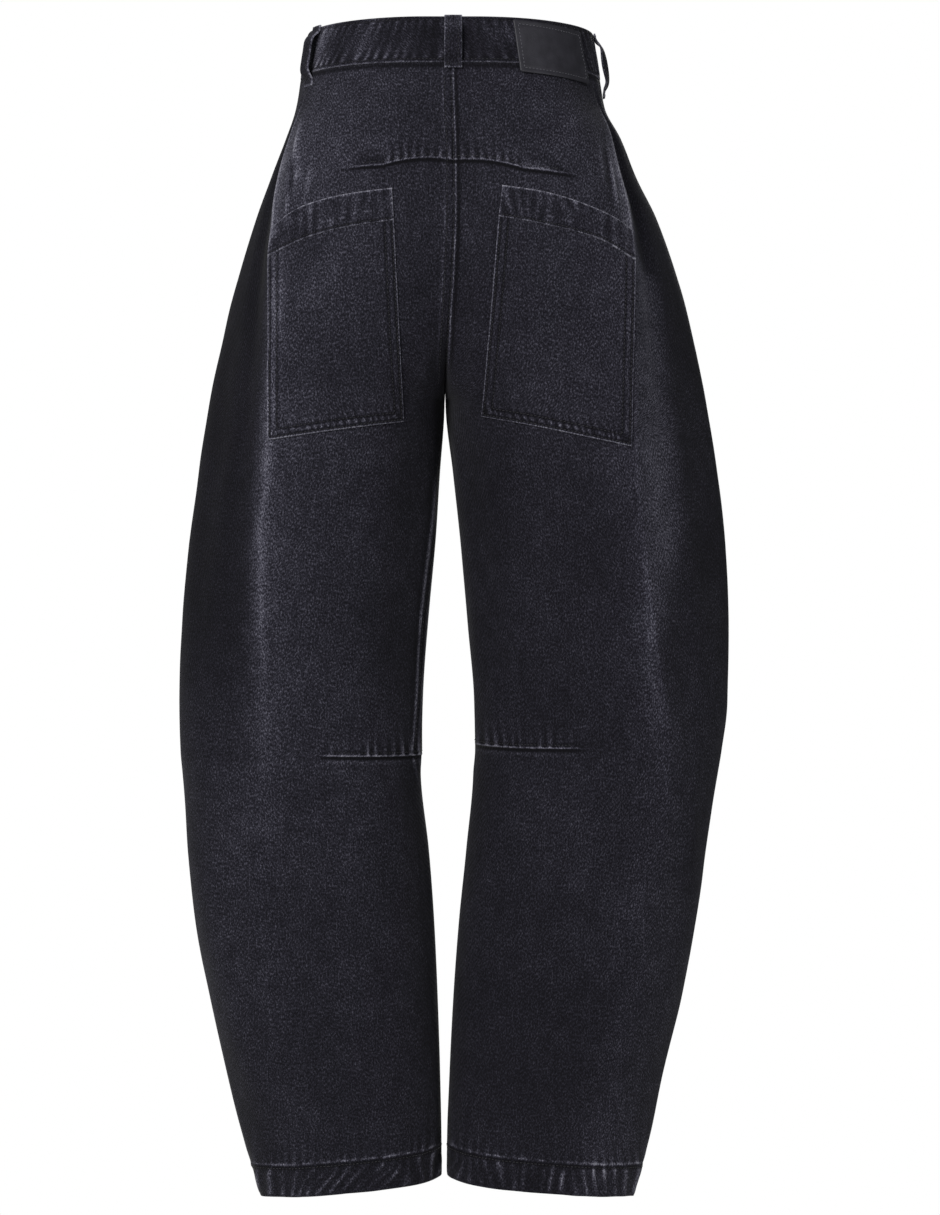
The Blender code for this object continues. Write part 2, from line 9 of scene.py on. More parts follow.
import bmesh
import bpy
import numpy as np
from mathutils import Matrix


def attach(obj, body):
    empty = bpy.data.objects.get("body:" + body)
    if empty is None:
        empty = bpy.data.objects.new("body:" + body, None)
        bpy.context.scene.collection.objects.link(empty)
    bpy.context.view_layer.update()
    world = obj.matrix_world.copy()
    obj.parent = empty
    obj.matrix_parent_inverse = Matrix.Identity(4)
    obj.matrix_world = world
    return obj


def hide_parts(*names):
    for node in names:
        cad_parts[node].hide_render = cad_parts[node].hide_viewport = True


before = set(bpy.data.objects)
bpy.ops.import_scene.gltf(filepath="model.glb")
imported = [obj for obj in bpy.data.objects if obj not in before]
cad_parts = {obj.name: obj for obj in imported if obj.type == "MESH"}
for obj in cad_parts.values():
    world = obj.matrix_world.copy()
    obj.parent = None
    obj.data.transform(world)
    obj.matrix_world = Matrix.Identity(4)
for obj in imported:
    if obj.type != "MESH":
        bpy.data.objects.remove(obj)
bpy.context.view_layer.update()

MM = 0.001
LEFT, RIGHT = -1, 1
SIDE_NAMES = {LEFT: "left", RIGHT: "right"}
BACK, FRONT = -1, 1

# Cloth and seams
CLOTH = 2.0
SEAM_GAP = 0.3
LAY_GAP = 0.3
HEM_CLOTH = 3.6

# Waistband: its height, how far it stands off the panels, and its lapped ends at centre front
BAND_HEIGHT = 39.7
BAND_PROUD = 1.0
UNDERLAP = 30.0
OVERLAP = 6.0
LAP_STEP = 3.4
LAP_RUN = 12.0

# Heights of the panels' marked rows at their inner and outer edges
PANEL_TOP = -40.0
CROTCH = -322.0
CROTCH_OUTER = -371.0
INSEAM_Y = 5.0
BACK_CURVE_TOP = -180.0
FRONT_CURVE_TOP = -150.0
CLEFT_TOP = -200.0
YOKE_DART = {LEFT: (-124.0, -139.0), RIGHT: (-124.0, -147.0)}
KNEE_DART = {LEFT: (-632.0, -628.0), RIGHT: (-622.5, -626.0)}
YOKE_DART_TIP = {LEFT: 1.17, RIGHT: 1.23}
KNEE_DART_TIP = {LEFT: 0.91, RIGHT: 0.95}
DARTS = ((YOKE_DART, YOKE_DART_TIP), (KNEE_DART, KNEE_DART_TIP))
DART_BOW = {"yoke": 5.2, "knee": -0.8}
BOW_REACH = 40.0
DART_STEP = 1.3
DART_RUN = 1.6
DART_FADE = 24.0
HEM_BOTTOM = (-1001.0, -1021.0)
HEM_DEPTH = 28.0
HEM_RUN = 2.0

# A section runs from the middle seam, 0, by its fullest point, 1, and its ridge, 1.5, to its outermost point,
# 2. The outseam lies just past the outermost point, on the front, where one unit is PLACE_SPAN of cloth.
OUTSEAM = 2.12
PLACE_SPAN = 150.0

# One row for each height z. left and right are the outline's half widths, middle is the x of the middle seam,
# gap is half the space between the legs, back and front are the fullest depths, full is the fullest point's
# distance from the middle, seam_back and seam_front are the depths at the middle seam, ridge_left and
# ridge_right place the ridge, and corner says how sharply the cloth turns there.
SECTION_COLUMNS = ("z", "left", "right", "middle", "gap", "back", "front", "full", "seam_back", "seam_front",
                   "ridge_left", "ridge_right", "corner")
SECTIONS = (
    (0, 124.5, 124.5, 0.7, 0, 100, 100, 18, 100, 100, 96, 96, 0),
    (-40, 131, 131, 0.8, 0, 104, 104, 25, 104, 104, 116, 116, 0.15),
    (-65, 135.1, 135.1, 1.2, 0, 107, 105, 36, 106, 104.5, 126.5, 127, 0.4),
    (-92, 144, 149.2, 2.3, 0, 111, 106, 46, 108, 105, 136, 137, 0.8),
    (-127, 158, 164.1, 3.2, 0, 115, 106, 58, 109.5, 104, 145.5, 144, 1),
    (-162, 171.2, 181.7, 3.2, 0, 118, 105, 66, 110, 103, 151, 152, 1),
    (-215, 187, 200.2, 1.5, 0, 118, 104, 76, 110, 103, 153, 157, 1),
    (-268, 200.2, 213.4, -2.2, 0, 112, 102, 88, 110, 103, 154, 157, 1),
    (-322, 211, 225, -4.8, 0.2, 105, 99, 100, 110, 103, 155, 157.5, 1),
    (-386, 221.3, 235.4, -3.5, 5.7, 99, 97, 110, 110, 103, 158, 160, 1),
    (-452, 231, 242.4, -2.2, 11.4, 95, 95, 120, 110, 103, 163, 166.5, 1),
    (-518, 236.3, 244.2, -2.4, 17.4, 92, 94, 127, 110, 103, 162.5, 175, 0.9),
    (-584, 238, 243.3, -1.8, 22.4, 88, 93, 131, 110, 103, 158, 184, 0.7),
    (-628, 237.2, 238, -1.8, 23.3, 85, 91, 131, 110, 103, 158, 188, 0.45),
    (-650, 235.4, 234.5, -3.1, 22.9, 84, 90, 130, 110, 103, 160, 187, 0.35),
    (-716, 231, 224.8, -2.6, 16.3, 81, 86, 125, 110, 103, 168, 184, 0.3),
    (-782, 224, 215.2, -3.5, 10.5, 77, 80, 118, 110, 103, 171, 175, 0.3),
    (-848, 211.6, 202.8, -4.4, 6.6, 72, 72, 108, 110, 103, 165, 163, 0.3),
    (-914, 195.8, 186.1, -5.0, 3.9, 64, 62, 97, 110, 103, 152, 149, 0.3),
    (-980, 179.1, 172, -5.5, 2.2, 53, 51, 88, 110, 103, 139, 137, 0.2),
    (-1021, 166.8, 159.7, -5.3, 2.2, 46, 45, 82, 110, 103, 130, 127, 0),
)

# The ridge's corner: its lift, how flat the cloth lies past it, how far its pull swings out, and the share of
# it that the front has. SOFT_TURN is how far down the seat's curve the softer turn begins.
RIDGE_LIFT = 0.06
RIDGE_FLATTEN = 0.4
RIDGE_SWING = 0.35
FRONT_CORNER = 0.5
SOFT_TURN = 0.93

# One row for each large fold: which panels it crosses, its ends, its place along the section at each end, its
# height (below 0 for a trough) and its spread along the section.
FOLD_COLUMNS = ("side", "half", "z_top", "z_bottom", "at_top", "at_bottom", "height", "spread")
FOLDS = (
    (LEFT, BACK, -60, -190, 1.44, 1.36, 2.5, 0.06),
    (RIGHT, BACK, -100, -185, 1.72, 1.6, -3.0, 0.07),
    (LEFT, BACK, -230, -560, 1.74, 1.78, -4.0, 0.12),
    (RIGHT, BACK, -240, -540, 1.72, 1.8, -4.0, 0.12),
    (LEFT, BACK, -330, -600, 0.3, 0.42, -3.0, 0.14),
    (RIGHT, BACK, -330, -590, 0.32, 0.4, -3.0, 0.14),
    (RIGHT, BACK, -560, -760, 1.5, 1.72, 3.0, 0.1),
    (LEFT, BACK, -650, -900, 1.3, 1.1, -3.0, 0.16),
    (RIGHT, BACK, -650, -900, 1.2, 1.05, -3.0, 0.16),
    (LEFT, BACK, -700, -960, 1.72, 1.6, 2.5, 0.12),
    (LEFT, FRONT, -200, -520, 1.7, 1.74, -4.0, 0.14),
    (RIGHT, FRONT, -200, -520, 1.7, 1.74, -4.0, 0.14),
    (LEFT, FRONT, -600, -900, 1.1, 0.9, -3.0, 0.18),
    (RIGHT, FRONT, -600, -900, 1.1, 0.9, -3.0, 0.18),
)
FOLD_FADE = 60.0

# Patch pockets: lines of (x, z) points, each from the pocket's inner edge to its outer edge
POCKET_CLOTH = 1.4
POCKET_LEAST = 0.45
POCKET_WIDE = 120.0
POCKET_TALL = 165.0
POCKET_BAND_CLOTH = 2.2
POCKET_BAND_WIDE = 110.0
POCKET_BAND_TALL = 27.0
POCKET_TOP = {
    LEFT: ((-48.5, -148.0), (-89.0, -153.5), (-126.0, -162.5), (-151.0, -178.0)),
    RIGHT: ((44.5, -145.5), (83.5, -152.0), (117.5, -162.5), (145.0, -175.0), (154.0, -182.0)),
}
POCKET_SEAM = {
    LEFT: ((-47.0, -175.5), (-89.0, -182.0), (-123.0, -190.5), (-153.5, -203.5)),
    RIGHT: ((41.5, -172.0), (83.5, -180.0), (124.5, -190.5), (156.5, -207.5)),
}
POCKET_BOTTOM = {
    LEFT: ((-39.5, -343.5), (-155.0, -360.5)),
    RIGHT: ((27.5, -339.0), (155.0, -366.0)),
}

# Fly: its place, the round of its lower corner, how far it runs up under the waistband, and its cloth, which
# the grooves never thin below FLY_LEAST
FLY_WIDTH = 38.0
FLY_ACROSS = 36.0
FLY_TALL = 166.0
FLY_BOTTOM = -206.0
FLY_ROUND = 30.0
FLY_UNDER = 3.0
FLY_CLOTH = 1.4
FLY_LEAST = 0.4

# Patch: its inner and outer edges' places on the waist (as ring_surface has them) at its top and its lower
# end, its length, the height of its top, its own height and how far its outer end drops
PATCH_INNER = (1.195, 1.135)
PATCH_OUTER = (1.63, 1.465)
PATCH_LENGTH = 75.0
PATCH_TOP = -1.6
PATCH_HEIGHT = 46.0
PATCH_DROP = 4.1
PATCH_THICK = 1.5
PATCH_GAP = 0.5

# Belt loops: place round the waistband as a share of its length from centre back towards the wearer's right,
# the clear space under the strap and the height of its lower end
LOOP_WIDTH = 15.0
LOOP_THICK = 1.7
LOOP_TOP = 0.5
LOOP_FOOT = 6.0
LOOP_RISE = 7.0
LOOPS = (
    ("belt_loop_back", 0.003, 5.5, -44.5),
    ("belt_loop_right", 0.25, 5.5, -54.5),
    ("belt_loop_front_right", 0.427, 7.0, -44.5),
    ("belt_loop_front_left", 0.573, 7.0, -44.5),
    ("belt_loop_left", 0.813, 6.7, -52.0),
)

# Button
BUTTON_X = -9.0
BUTTON_Z = -20.0

# Seams and stitches. GROOVE is a stitched row's half width, TURN_WIDTH the width of a turned edge, and
# LAID_RIM how far a laid piece's rim bulges.
FELL_WIDTH = 10.0
FELL_RISE = 0.9
FELL_SHIFT = 2.5
STITCH_PITCH = 3.2
STITCH_LONG = 2.4
STITCH_THICK = 0.55
FEWEST_POINTS = 4
EDGE_ROW = 2.2
SECOND_ROW = 8.6
POCKET_ROW_SPAN = 118.0
GROOVE = 0.9
TURN_WIDTH = 10.5
LAID_RIM = 0.25
PUCKER_PITCH = 7.6
PUCKER_REACH = 17.0
PUCKER_RISE = 0.55
POCKET_PITCH = 6.2

# The hem's roped twist: its height and pitch, how it slants, and each side's share of the pitch
ROPE_RISE = 0.8
ROPE_PITCH = 11.0
HEM_SLOPE = {LEFT: -0.4, RIGHT: 0.05}
HEM_FINE = {LEFT: 1.0, RIGHT: 0.8}

# The wearer's left inseam turns a little to the back: (x, z) points of its outer stitch row
INSEAM_LINE = (
    (-9.7, -372.0),
    (-13.2, -421.8),
    (-23.6, -514.7),
    (-29.2, -579.8),
    (-33.1, -626.7),
    (-26.5, -661.0),
)
INSEAM_SHIFT = 1.5

# One row for each crease on a panel as seen from behind or in front: its panel, the (x, z) of its two ends,
# its height (below 0 for a trough) and its half width. The ends fade out over CREASE_FADE, and creases
# narrower than NARROW are faded pale on their crests and painted darker as shade in their troughs.
CREASE_COLUMNS = ("side", "half", "x1", "z1", "x2", "z2", "height", "width")
CREASES = (
    (LEFT, BACK, -125.2, -72, -135.4, -142, 1.3, 2.6),
    (LEFT, BACK, -135.4, -142, -140.5, -178, 1.1, 2.6),
    (LEFT, BACK, -127.8, -90, -131.1, -172, 0.9, 2.4),
    (LEFT, BACK, -117.0, -112, -124.4, -170, 0.7, 3.0),
    (LEFT, BACK, -131.0, -100, -137.0, -165, -0.9, 2.2),
    (RIGHT, BACK, 136.0, -112, 143.5, -173, 1.2, 2.6),
    (RIGHT, BACK, 131.5, -85, 139.0, -170, -1.0, 2.8),
    (RIGHT, BACK, 126.0, -90, 132.0, -165, 0.6, 3.0),
    (RIGHT, BACK, 11.5, -132, 9.0, -320, -2.6, 6.5),
    (RIGHT, BACK, 22.0, -215, 20.0, -345, 1.1, 6.0),
    (LEFT, BACK, -14.0, -250, -24.0, -345, 0.9, 5.0),
    (LEFT, BACK, -24.0, -270, -38.0, -330, -0.8, 5.0),
    (RIGHT, BACK, 30.0, -360, 58.0, -520, -1.4, 14.0),
    (LEFT, BACK, -30.0, -360, -58.0, -520, -1.4, 14.0),
    (LEFT, BACK, -100.0, -380, -118.0, -600, 0.9, 12.0),
    (RIGHT, BACK, 92.0, -380, 118.0, -600, 0.9, 12.0),
    (LEFT, BACK, -80.0, -660, -70.0, -900, 1.2, 14.0),
    (RIGHT, BACK, 92.0, -670, 74.0, -900, 1.2, 14.0),
    (LEFT, BACK, -118.0, -640, -112.0, -760, 1.0, 9.0),
    (RIGHT, BACK, 112.0, -640, 120.0, -790, 1.0, 9.0),
    (LEFT, FRONT, -30.0, -240, -78.0, -330, 1.4, 7.0),
    (RIGHT, FRONT, 30.0, -240, 78.0, -330, 1.4, 7.0),
    (LEFT, FRONT, -24.0, -280, -70.0, -380, -1.4, 8.0),
    (RIGHT, FRONT, 24.0, -280, 70.0, -380, -1.4, 8.0),
    (LEFT, FRONT, -18.0, -320, -60.0, -450, 1.0, 7.0),
    (RIGHT, FRONT, 18.0, -320, 60.0, -450, 1.0, 7.0),
    (LEFT, FRONT, -110.0, -420, -120.0, -640, 1.1, 14.0),
    (RIGHT, FRONT, 112.0, -420, 124.0, -640, 1.1, 14.0),
    (LEFT, FRONT, -84.0, -600, -150.0, -640, -1.0, 9.0),
    (RIGHT, FRONT, 84.0, -610, 150.0, -645, -1.0, 9.0),
)
CREASE_FADE = 45.0
NARROW = 4.0
CREASE_WEAR_AND_SHADE = 0.68
UNEVEN = 0.9

# Where the cloth is paler: along the long outer folds, faded and partly a painted highlight where they face
# the light; beside them, over the hips and shins and at the pockets' outer edges, where the wash is paler;
# and on the cloth's rims. Where it is darker: painted shade on the wings outside the folds, which turn from
# the light, towards the inseams and in the middle of the seat, where the cloth turns in, and low on the legs;
# and darker down the middle of each leg.
RIDGE_WEAR_AND_HIGHLIGHT = {LEFT: 0.66, RIGHT: 0.66}
RUB = {LEFT: 0.14, RIGHT: 0.06}
HIP_RUB = {LEFT: 0.14, RIGHT: 0.12}
SHIN_RUB = {LEFT: 0.06, RIGHT: 0.0}
POCKET_RUB = {LEFT: 0.38, RIGHT: 0.1}
RIM_WORN = 0.35
WING_SHADE = {LEFT: 0.66, RIGHT: 0.28}
WING_START = {LEFT: 0.01, RIGHT: 0.05}
INNER_SHADE = 0.1
SEAT_SHADE = 0.14
LEG_SHADE = {LEFT: 0.07, RIGHT: 0.25}
LOW_SHADE = {LEFT: 0.26, RIGHT: 0.08}

# How strong the long outer fold is at heights from the hem up: (z, left, right)
RIDGE_FOLD = (
    (-760, 0.0, 0.0),
    (-600, 0.1, 0.3),
    (-450, 0.3, 0.35),
    (-300, 0.45, 0.5),
    (-200, 0.6, 0.9),
    (-130, 0.9, 1.0),
    (-85, 0.7, 0.7),
    (-45, 0.0, 0.0),
)

# Fine rows down each part of a panel: the yoke, close above a dart or the hem, a dart's step, close under it,
# the seat, the thigh, the shin and the hem. UV_SHIFT keeps the cloth coordinates clear of 0.
ROW_CELLS = {
    BACK: {"yoke": 32, "near": 9, "step": 3, "under": 5, "seat": 66, "thigh": 92, "shin": 104, "hem": 17},
    FRONT: {"yoke": 24, "near": 6, "step": 2, "under": 2, "seat": 52, "thigh": 66, "shin": 80, "hem": 12},
}
UV_SHIFT = 20.0
NEAR_DART = 12.0
BELOW_DART = 4.5
PANEL_CELLS = {BACK: 126, FRONT: 66}
SEAM_CROWD = {BACK: 4.5, FRONT: 2.5}

# Waistband, patch and loops
BAND_THICK = 3.0
BAND_ROUND = 1.5
BAND_ROW = 3.0
BAND_SEAM_ROW = -52.0
BAND_FINE_CELLS = 620
PATCH_ROUND = 2.5
PATCH_ROW = 4.0
LOOP_CELLS = 60
LOOP_TWIST = {"belt_loop_right": 20.0}
LOOP_SOFTEN = 14
LOOP_ROW = 3.2
STITCH_SIDES = 5
BUTTON_SIDES = 48
# The button's profile as (radius, height) points, from its underside over its raised rim to its dome
BUTTON_PROFILE = ((6.9, 0.0), (8.1, 0.3), (8.5, 1.0), (8.5, 1.8), (8.1, 2.6), (7.4, 2.9), (6.8, 2.75),
                  (6.3, 2.3), (5.6, 2.2), (4.4, 2.55), (2.6, 2.85), (0.9, 3.0))

# Colours as sRGB
DENIM_BLACK = "08070c"
DENIM_DARK = "131219"
DENIM_MID = "292831"
DENIM_PALE = "5a5965"
DENIM_WORN = "9998a2"
THREAD = "1d1c21"
PATCH_THREAD = "5a5960"
LEATHER_DARK = "212026"
LEATHER_PALE = "323138"
METAL_DARK = "6b655e"
AMBIENT_COLOUR = "f6f9ff"
FLOOR_COLOUR = "e8e8e6"

# How the denim's tone fades from black: each row blends on to a colour between a low and a high tone
DENIM_FADE = (
    (-0.95, -0.2, DENIM_DARK),
    (-0.2, 0.45, DENIM_MID),
    (0.45, 1.15, DENIM_PALE),
    (1.05, 2.0, DENIM_WORN),
)

# Sizes of the patterns in the materials
TWILL_SPACING = 2.618
TWILL_SLANT = -32.0
GRAIN_SIZE = 1.3158
STREAK_SIZE = 3.0303
CLOUD_SIZE = 111.11
MOTTLE_SIZE = 18.182
PEBBLE_SIZE = 1.1765
DYE_CLOUD_SIZE = 11.111
THREAD_TWIST_SIZE = 0.38462
TUMBLE_SIZE = 2.381

# Camera: its place and lens, worked out from the photograph
CAMERA_X = 17.2
CAMERA_AWAY = 3000.0
CAMERA_Z = -503.0
LENS = 101.0

# Lights, in watts, and the white world's share as light
KEY_POWER = 82.0
FILL_POWER = 18.5
BACK_POWER = 52.0
AMBIENT = 0.12

# The floor, in metres: it lies 79 mm under the hems
FLOOR_Z = -1.1
FLOOR_ACROSS = (-0.9, 0.9)
FLOOR_ALONG = (-0.9, 0.33)

# The Mix node's inputs for its two colours and its output for the blend
MIX_LOW, MIX_HIGH, MIX_RESULT = 6, 7, 2


def smooth_step(value):
    value = np.clip(value, 0.0, 1.0)
    return value * value * (3.0 - 2.0 * value)


def smooth_column(heights, values, z):
    """A table column read at heights z, through cubic pieces that never swing past the rows."""
    runs = np.diff(heights)
    slopes = np.diff(values) / runs
    ends = np.zeros(len(values))
    ends[0], ends[-1] = slopes[0], slopes[-1]
    same = slopes[:-1] * slopes[1:] > 0
    safe = np.where(same, slopes[:-1] + slopes[1:], 1.0)
    ends[1:-1] = np.where(same, 2.0 * slopes[:-1] * slopes[1:] / safe, 0.0)
    z = np.clip(z, heights[0], heights[-1])
    i = np.clip(np.searchsorted(heights, z, side="right") - 1, 0, len(runs) - 1)
    run = runs[i]
    t = (z - heights[i]) / run
    return (values[i] * (1 + 2 * t) * (1 - t) ** 2 + values[i + 1] * t * t * (3 - 2 * t)
            + run * (ends[i] * t * (1 - t) ** 2 + ends[i + 1] * t * t * (t - 1)))


def read_section(z):
    """Each column of the section table at heights z."""
    table = np.array(SECTIONS[::-1], float)
    heights = table[:, 0]
    return {name: smooth_column(heights, table[:, i], z) for i, name in enumerate(SECTION_COLUMNS) if i}


def bezier(start, pull, end, t):
    return start * (1 - t) ** 2 + 2 * pull * t * (1 - t) + end * t * t


def seam_depth(row, z, half, s=0.0):
    """How far back or forward the middle seam lies: down the seat, under the crotch, then down the inseam.
    Away from the seam the turn under the crotch is softer."""
    top, column = (BACK_CURVE_TOP, "seam_back") if half == BACK else (FRONT_CURVE_TOP, "seam_front")
    turned = np.maximum((top - z) / (top - CROTCH), 0.0)
    depth = np.sqrt(np.maximum(1.0 - turned ** 2, 0.0))
    edge = math.sqrt(1 - SOFT_TURN ** 2)
    reach = 2 * edge ** 2 / SOFT_TURN
    tail = edge * np.clip(1 - (turned - SOFT_TURN) / reach, 0.0, 1.0) ** 2
    soft = np.where(turned < SOFT_TURN, depth, tail)
    share = depth + (soft - depth) * smooth_step(s / 0.4)
    return INSEAM_Y + (half * row[column] - INSEAM_Y) * share


def half_ring(z, s, side, half):
    """The point of one half section at height z and place s, from the middle seam, 0, to the outermost, 2."""
    row = read_section(z)
    seam_y = seam_depth(row, z, half, s)
    full_y = half * row["back" if half == BACK else "front"]
    full, gap = row["full"], row["gap"]
    out = row[SIDE_NAMES[side]] - side * row["middle"]
    ridge = row["ridge_" + SIDE_NAMES[side]] - side * row["middle"]
    corner = row["corner"] * (1.0 if half == BACK else FRONT_CORNER)

    turn = np.clip(s, 0, 1) * math.pi / 2
    cleft = smooth_step((CLEFT_TOP - z) / (CLEFT_TOP - CROTCH))
    dip_x = gap + (full - gap) * np.clip(s, 0, 1)
    dip_y = seam_y + (full_y - seam_y) * (1 - np.cos(2 * turn)) / 2
    leg_x = gap + (full - gap) * (1 - np.cos(turn))
    leg_y = seam_y + (full_y - seam_y) * np.sin(turn)
    inner_x = dip_x + (leg_x - dip_x) * cleft
    inner_y = dip_y + (leg_y - dip_y) * cleft

    reach = out - full
    angle = np.arcsin(np.clip((ridge - full) / reach, 0.05, 0.97))
    ridge_y = full_y * np.minimum(np.cos(angle) + corner * RIDGE_LIFT, 0.985)
    pull_x = full + reach * (np.tan(angle / 2) + RIDGE_SWING * corner * (np.sin(angle) - np.tan(angle / 2)))
    pull_y = full_y * np.tan(math.pi / 4 - angle / 2) * (1 - RIDGE_FLATTEN * corner)
    t_flat = np.clip((s - 1) * 2, 0, 1)
    t_wing = np.clip((s - 1.5) * 2, 0, 1)
    flat_x = bezier(full, pull_x, ridge, t_flat)
    flat_y = bezier(full_y, full_y, ridge_y, t_flat)
    wing_x = bezier(ridge, out, out, t_wing)
    wing_y = bezier(ridge_y, pull_y, 0.0, t_wing)

    x = np.where(s < 1, inner_x, np.where(s < 1.5, flat_x, wing_x))
    y = np.where(s < 1, inner_y, np.where(s < 1.5, flat_y, wing_y))
    return row["middle"] + side * x, y


def plain_surface(z, s, side, half):
    """The cloth's outer face with no folds. Places past 2 go on round into the other half."""
    near_x, near_y = half_ring(z, np.minimum(s, 2.0), side, half)
    far_x, far_y = half_ring(z, np.minimum(4.0 - s, 2.0), side, -half)
    past = s > 2
    return np.stack([np.where(past, far_x, near_x), np.where(past, far_y, near_y), z], axis=-1)


def unit_normals(surface, rows, s, side, half):
    """Unit normals of a surface function that point out of the leg."""
    step = 0.01
    low = np.maximum(s - step, 0.0)
    along = surface(rows, s + step) - surface(rows, low)
    down = surface(rows - 1.0, s) - surface(rows + 1.0, s)
    normals = np.cross(along, down) * (side * half)
    return normals / np.linalg.norm(normals, axis=-1, keepdims=True)


def fold_height(z, s, side, half):
    """How far the large folds lift the cloth off its plain form."""
    height = np.zeros(np.broadcast(z, s).shape)
    for fold in FOLDS:
        row = dict(zip(FOLD_COLUMNS, fold))
        if (row["side"], row["half"]) != (side, half):
            continue
        share = (row["z_top"] - z) / (row["z_top"] - row["z_bottom"])
        place = row["at_top"] + (row["at_bottom"] - row["at_top"]) * share
        ends = smooth_step((row["z_top"] - z) / FOLD_FADE) * smooth_step((z - row["z_bottom"]) / FOLD_FADE)
        height += row["height"] * ends * np.exp(-((s - place) / row["spread"]) ** 2)
    return height


def dart_line(line, tip, side, s):
    """The height of a dart's seam along a section: a straight line with a slight bow."""
    inner, outer = line[side]
    share = np.clip(s / tip[side], 0.0, 1.0)
    bow = DART_BOW["yoke" if line is YOKE_DART else "knee"]
    return inner + (outer - inner) * s / OUTSEAM + 4 * bow * share * (1 - share)


def dart_height(z, s, side):
    """The small step of each dart's upper edge over its lower one, fading up the cloth and to the tip."""
    height = np.zeros(np.broadcast(z, s).shape)
    for line, tip in DARTS:
        above = z - dart_line(line, tip, side, s)
        step = smooth_step(above / DART_RUN + 0.5) * np.exp(-np.maximum(above, 0) / DART_FADE)
        height += DART_STEP * step * smooth_step((tip[side] - s) / 0.3)
    return height


def seam_rows(start, end, cells, side, half):
    """Heights between two rows of the middle seam, even along the seam itself."""
    z = np.linspace(start, end, 400)
    x, y = half_ring(z, np.zeros_like(z), side, half)
    run = np.concatenate([[0], np.cumsum(np.hypot(np.hypot(np.diff(x), np.diff(y)), np.diff(z)))])
    return np.interp(np.linspace(0, run[-1], cells + 1), run, z)


def level(normals):
    """Normals laid level, so that an edge made along them stays at one height."""
    flat = normals * (1.0, 1.0, 0.0)
    return flat / np.linalg.norm(flat, axis=-1, keepdims=True)


def ring_surface(z, p):
    """The waist's outer face at height z and place p: 0 at centre back, 2 right, 4 centre front, 6 left."""
    p = np.mod(p, 8.0)
    z, p = np.broadcast_arrays(np.asarray(z, float), p)
    x, y = half_ring(z, np.clip(p, 0, 2), RIGHT, BACK)
    for start, way, side, half in ((2, -1, RIGHT, FRONT), (4, 1, LEFT, FRONT), (6, -1, LEFT, BACK)):
        s = np.clip(p - start if way > 0 else start + 2 - p, 0, 2)
        part_x, part_y = half_ring(z, s, side, half)
        x, y = np.where(p >= start, part_x, x), np.where(p >= start, part_y, y)
    return np.stack([x, y, z], axis=-1)


def ring_frame(z, p):
    """Outer point, outward normal and tangent (towards the wearer's right from the back) on the waist."""
    step = 0.02
    point = ring_surface(z, p)
    along = ring_surface(z, p + step) - ring_surface(z, p - step)
    down = ring_surface(z - 1.0, p) - ring_surface(z + 1.0, p)
    normal = np.cross(down, along)
    normal /= np.linalg.norm(normal, axis=-1, keepdims=True)
    tangent = along / np.linalg.norm(along, axis=-1, keepdims=True)
    return point, normal, tangent


def run_along(points, axis=0):
    """How far along its line each point lies, from 0 at the line's start."""
    steps = np.linalg.norm(np.diff(points, axis=axis), axis=-1)
    start = np.zeros_like(np.take(steps, [0], axis=axis))
    return np.concatenate([start, np.cumsum(steps, axis=axis)], axis=axis)


def ring_lengths():
    """Places round the waist and how far round each lies, half way down the waistband."""
    p = np.linspace(0.0, 8.0, 801)
    return p, run_along(ring_surface(-BAND_HEIGHT / 2, p))


def waist_length():
    return ring_lengths()[1][-1]


def place_at(length):
    """The place p that lies a length round the waist from centre back."""
    p, run = ring_lengths()
    turns = np.floor_divide(length, run[-1])
    return np.interp(length - turns * run[-1], run, p) + 8.0 * turns


def random_table(seed):
    return np.random.default_rng(seed).uniform(-1.0, 1.0, (64, 64))


def patches(u, v, seed):
    """Smooth irregular patches between -1 and 1, one unit apart."""
    table = random_table(seed)
    i, j = np.floor(u).astype(int), np.floor(v).astype(int)
    a, b = smooth_step(u - i), smooth_step(v - j)
    low = table[i % 64, j % 64] * (1 - a) + table[(i + 1) % 64, j % 64] * a
    high = table[i % 64, (j + 1) % 64] * (1 - a) + table[(i + 1) % 64, (j + 1) % 64] * a
    return low * (1 - b) + high * b


def bump_at(distance, width):
    return np.exp(-(distance / width) ** 2)


def crease_height(x, z, side, half):
    """How far the listed creases lift the cloth, and how much the narrow ones are faded pale on their crests
    and painted darker as shade in their troughs.
    """
    height = np.zeros(np.shape(x))
    rubbed_and_shaded = np.zeros(np.shape(x))
    for crease in CREASES:
        row = dict(zip(CREASE_COLUMNS, crease))
        if (row["side"], row["half"]) != (side, half):
            continue
        run_x, run_z = row["x2"] - row["x1"], row["z2"] - row["z1"]
        long = math.hypot(run_x, run_z)
        along = ((x - row["x1"]) * run_x + (z - row["z1"]) * run_z) / long
        across = ((x - row["x1"]) * run_z - (z - row["z1"]) * run_x) / long
        fade = min(CREASE_FADE, long / 2)
        ends = smooth_step(along / fade) * smooth_step((long - along) / fade)
        height += row["height"] * ends * bump_at(across, row["width"])
        # Narrow crests are faded pale, and narrow troughs, below 0, are painted darker as shade.
        if row["width"] < NARROW:
            rubbed_and_shaded += CREASE_WEAR_AND_SHADE * row["height"] * ends * bump_at(across, row["width"] * 0.45)
    return height, rubbed_and_shaded


def puckers(x, above, fade, seed):
    """Short ridges that stand on a stitched line and die away above it, with how high they stand there."""
    waver = x / PUCKER_PITCH + 0.35 * patches(x / 23.0, above / 30.0, seed)
    ridge = np.sin(2 * math.pi * waver) * (0.65 + 0.35 * patches(x / 14.0, above / 40.0, seed + 1))
    shape = smooth_step(above / 2.5) * np.exp(-np.maximum(above, 0) / (PUCKER_REACH * 0.45))
    return ridge * shape * fade


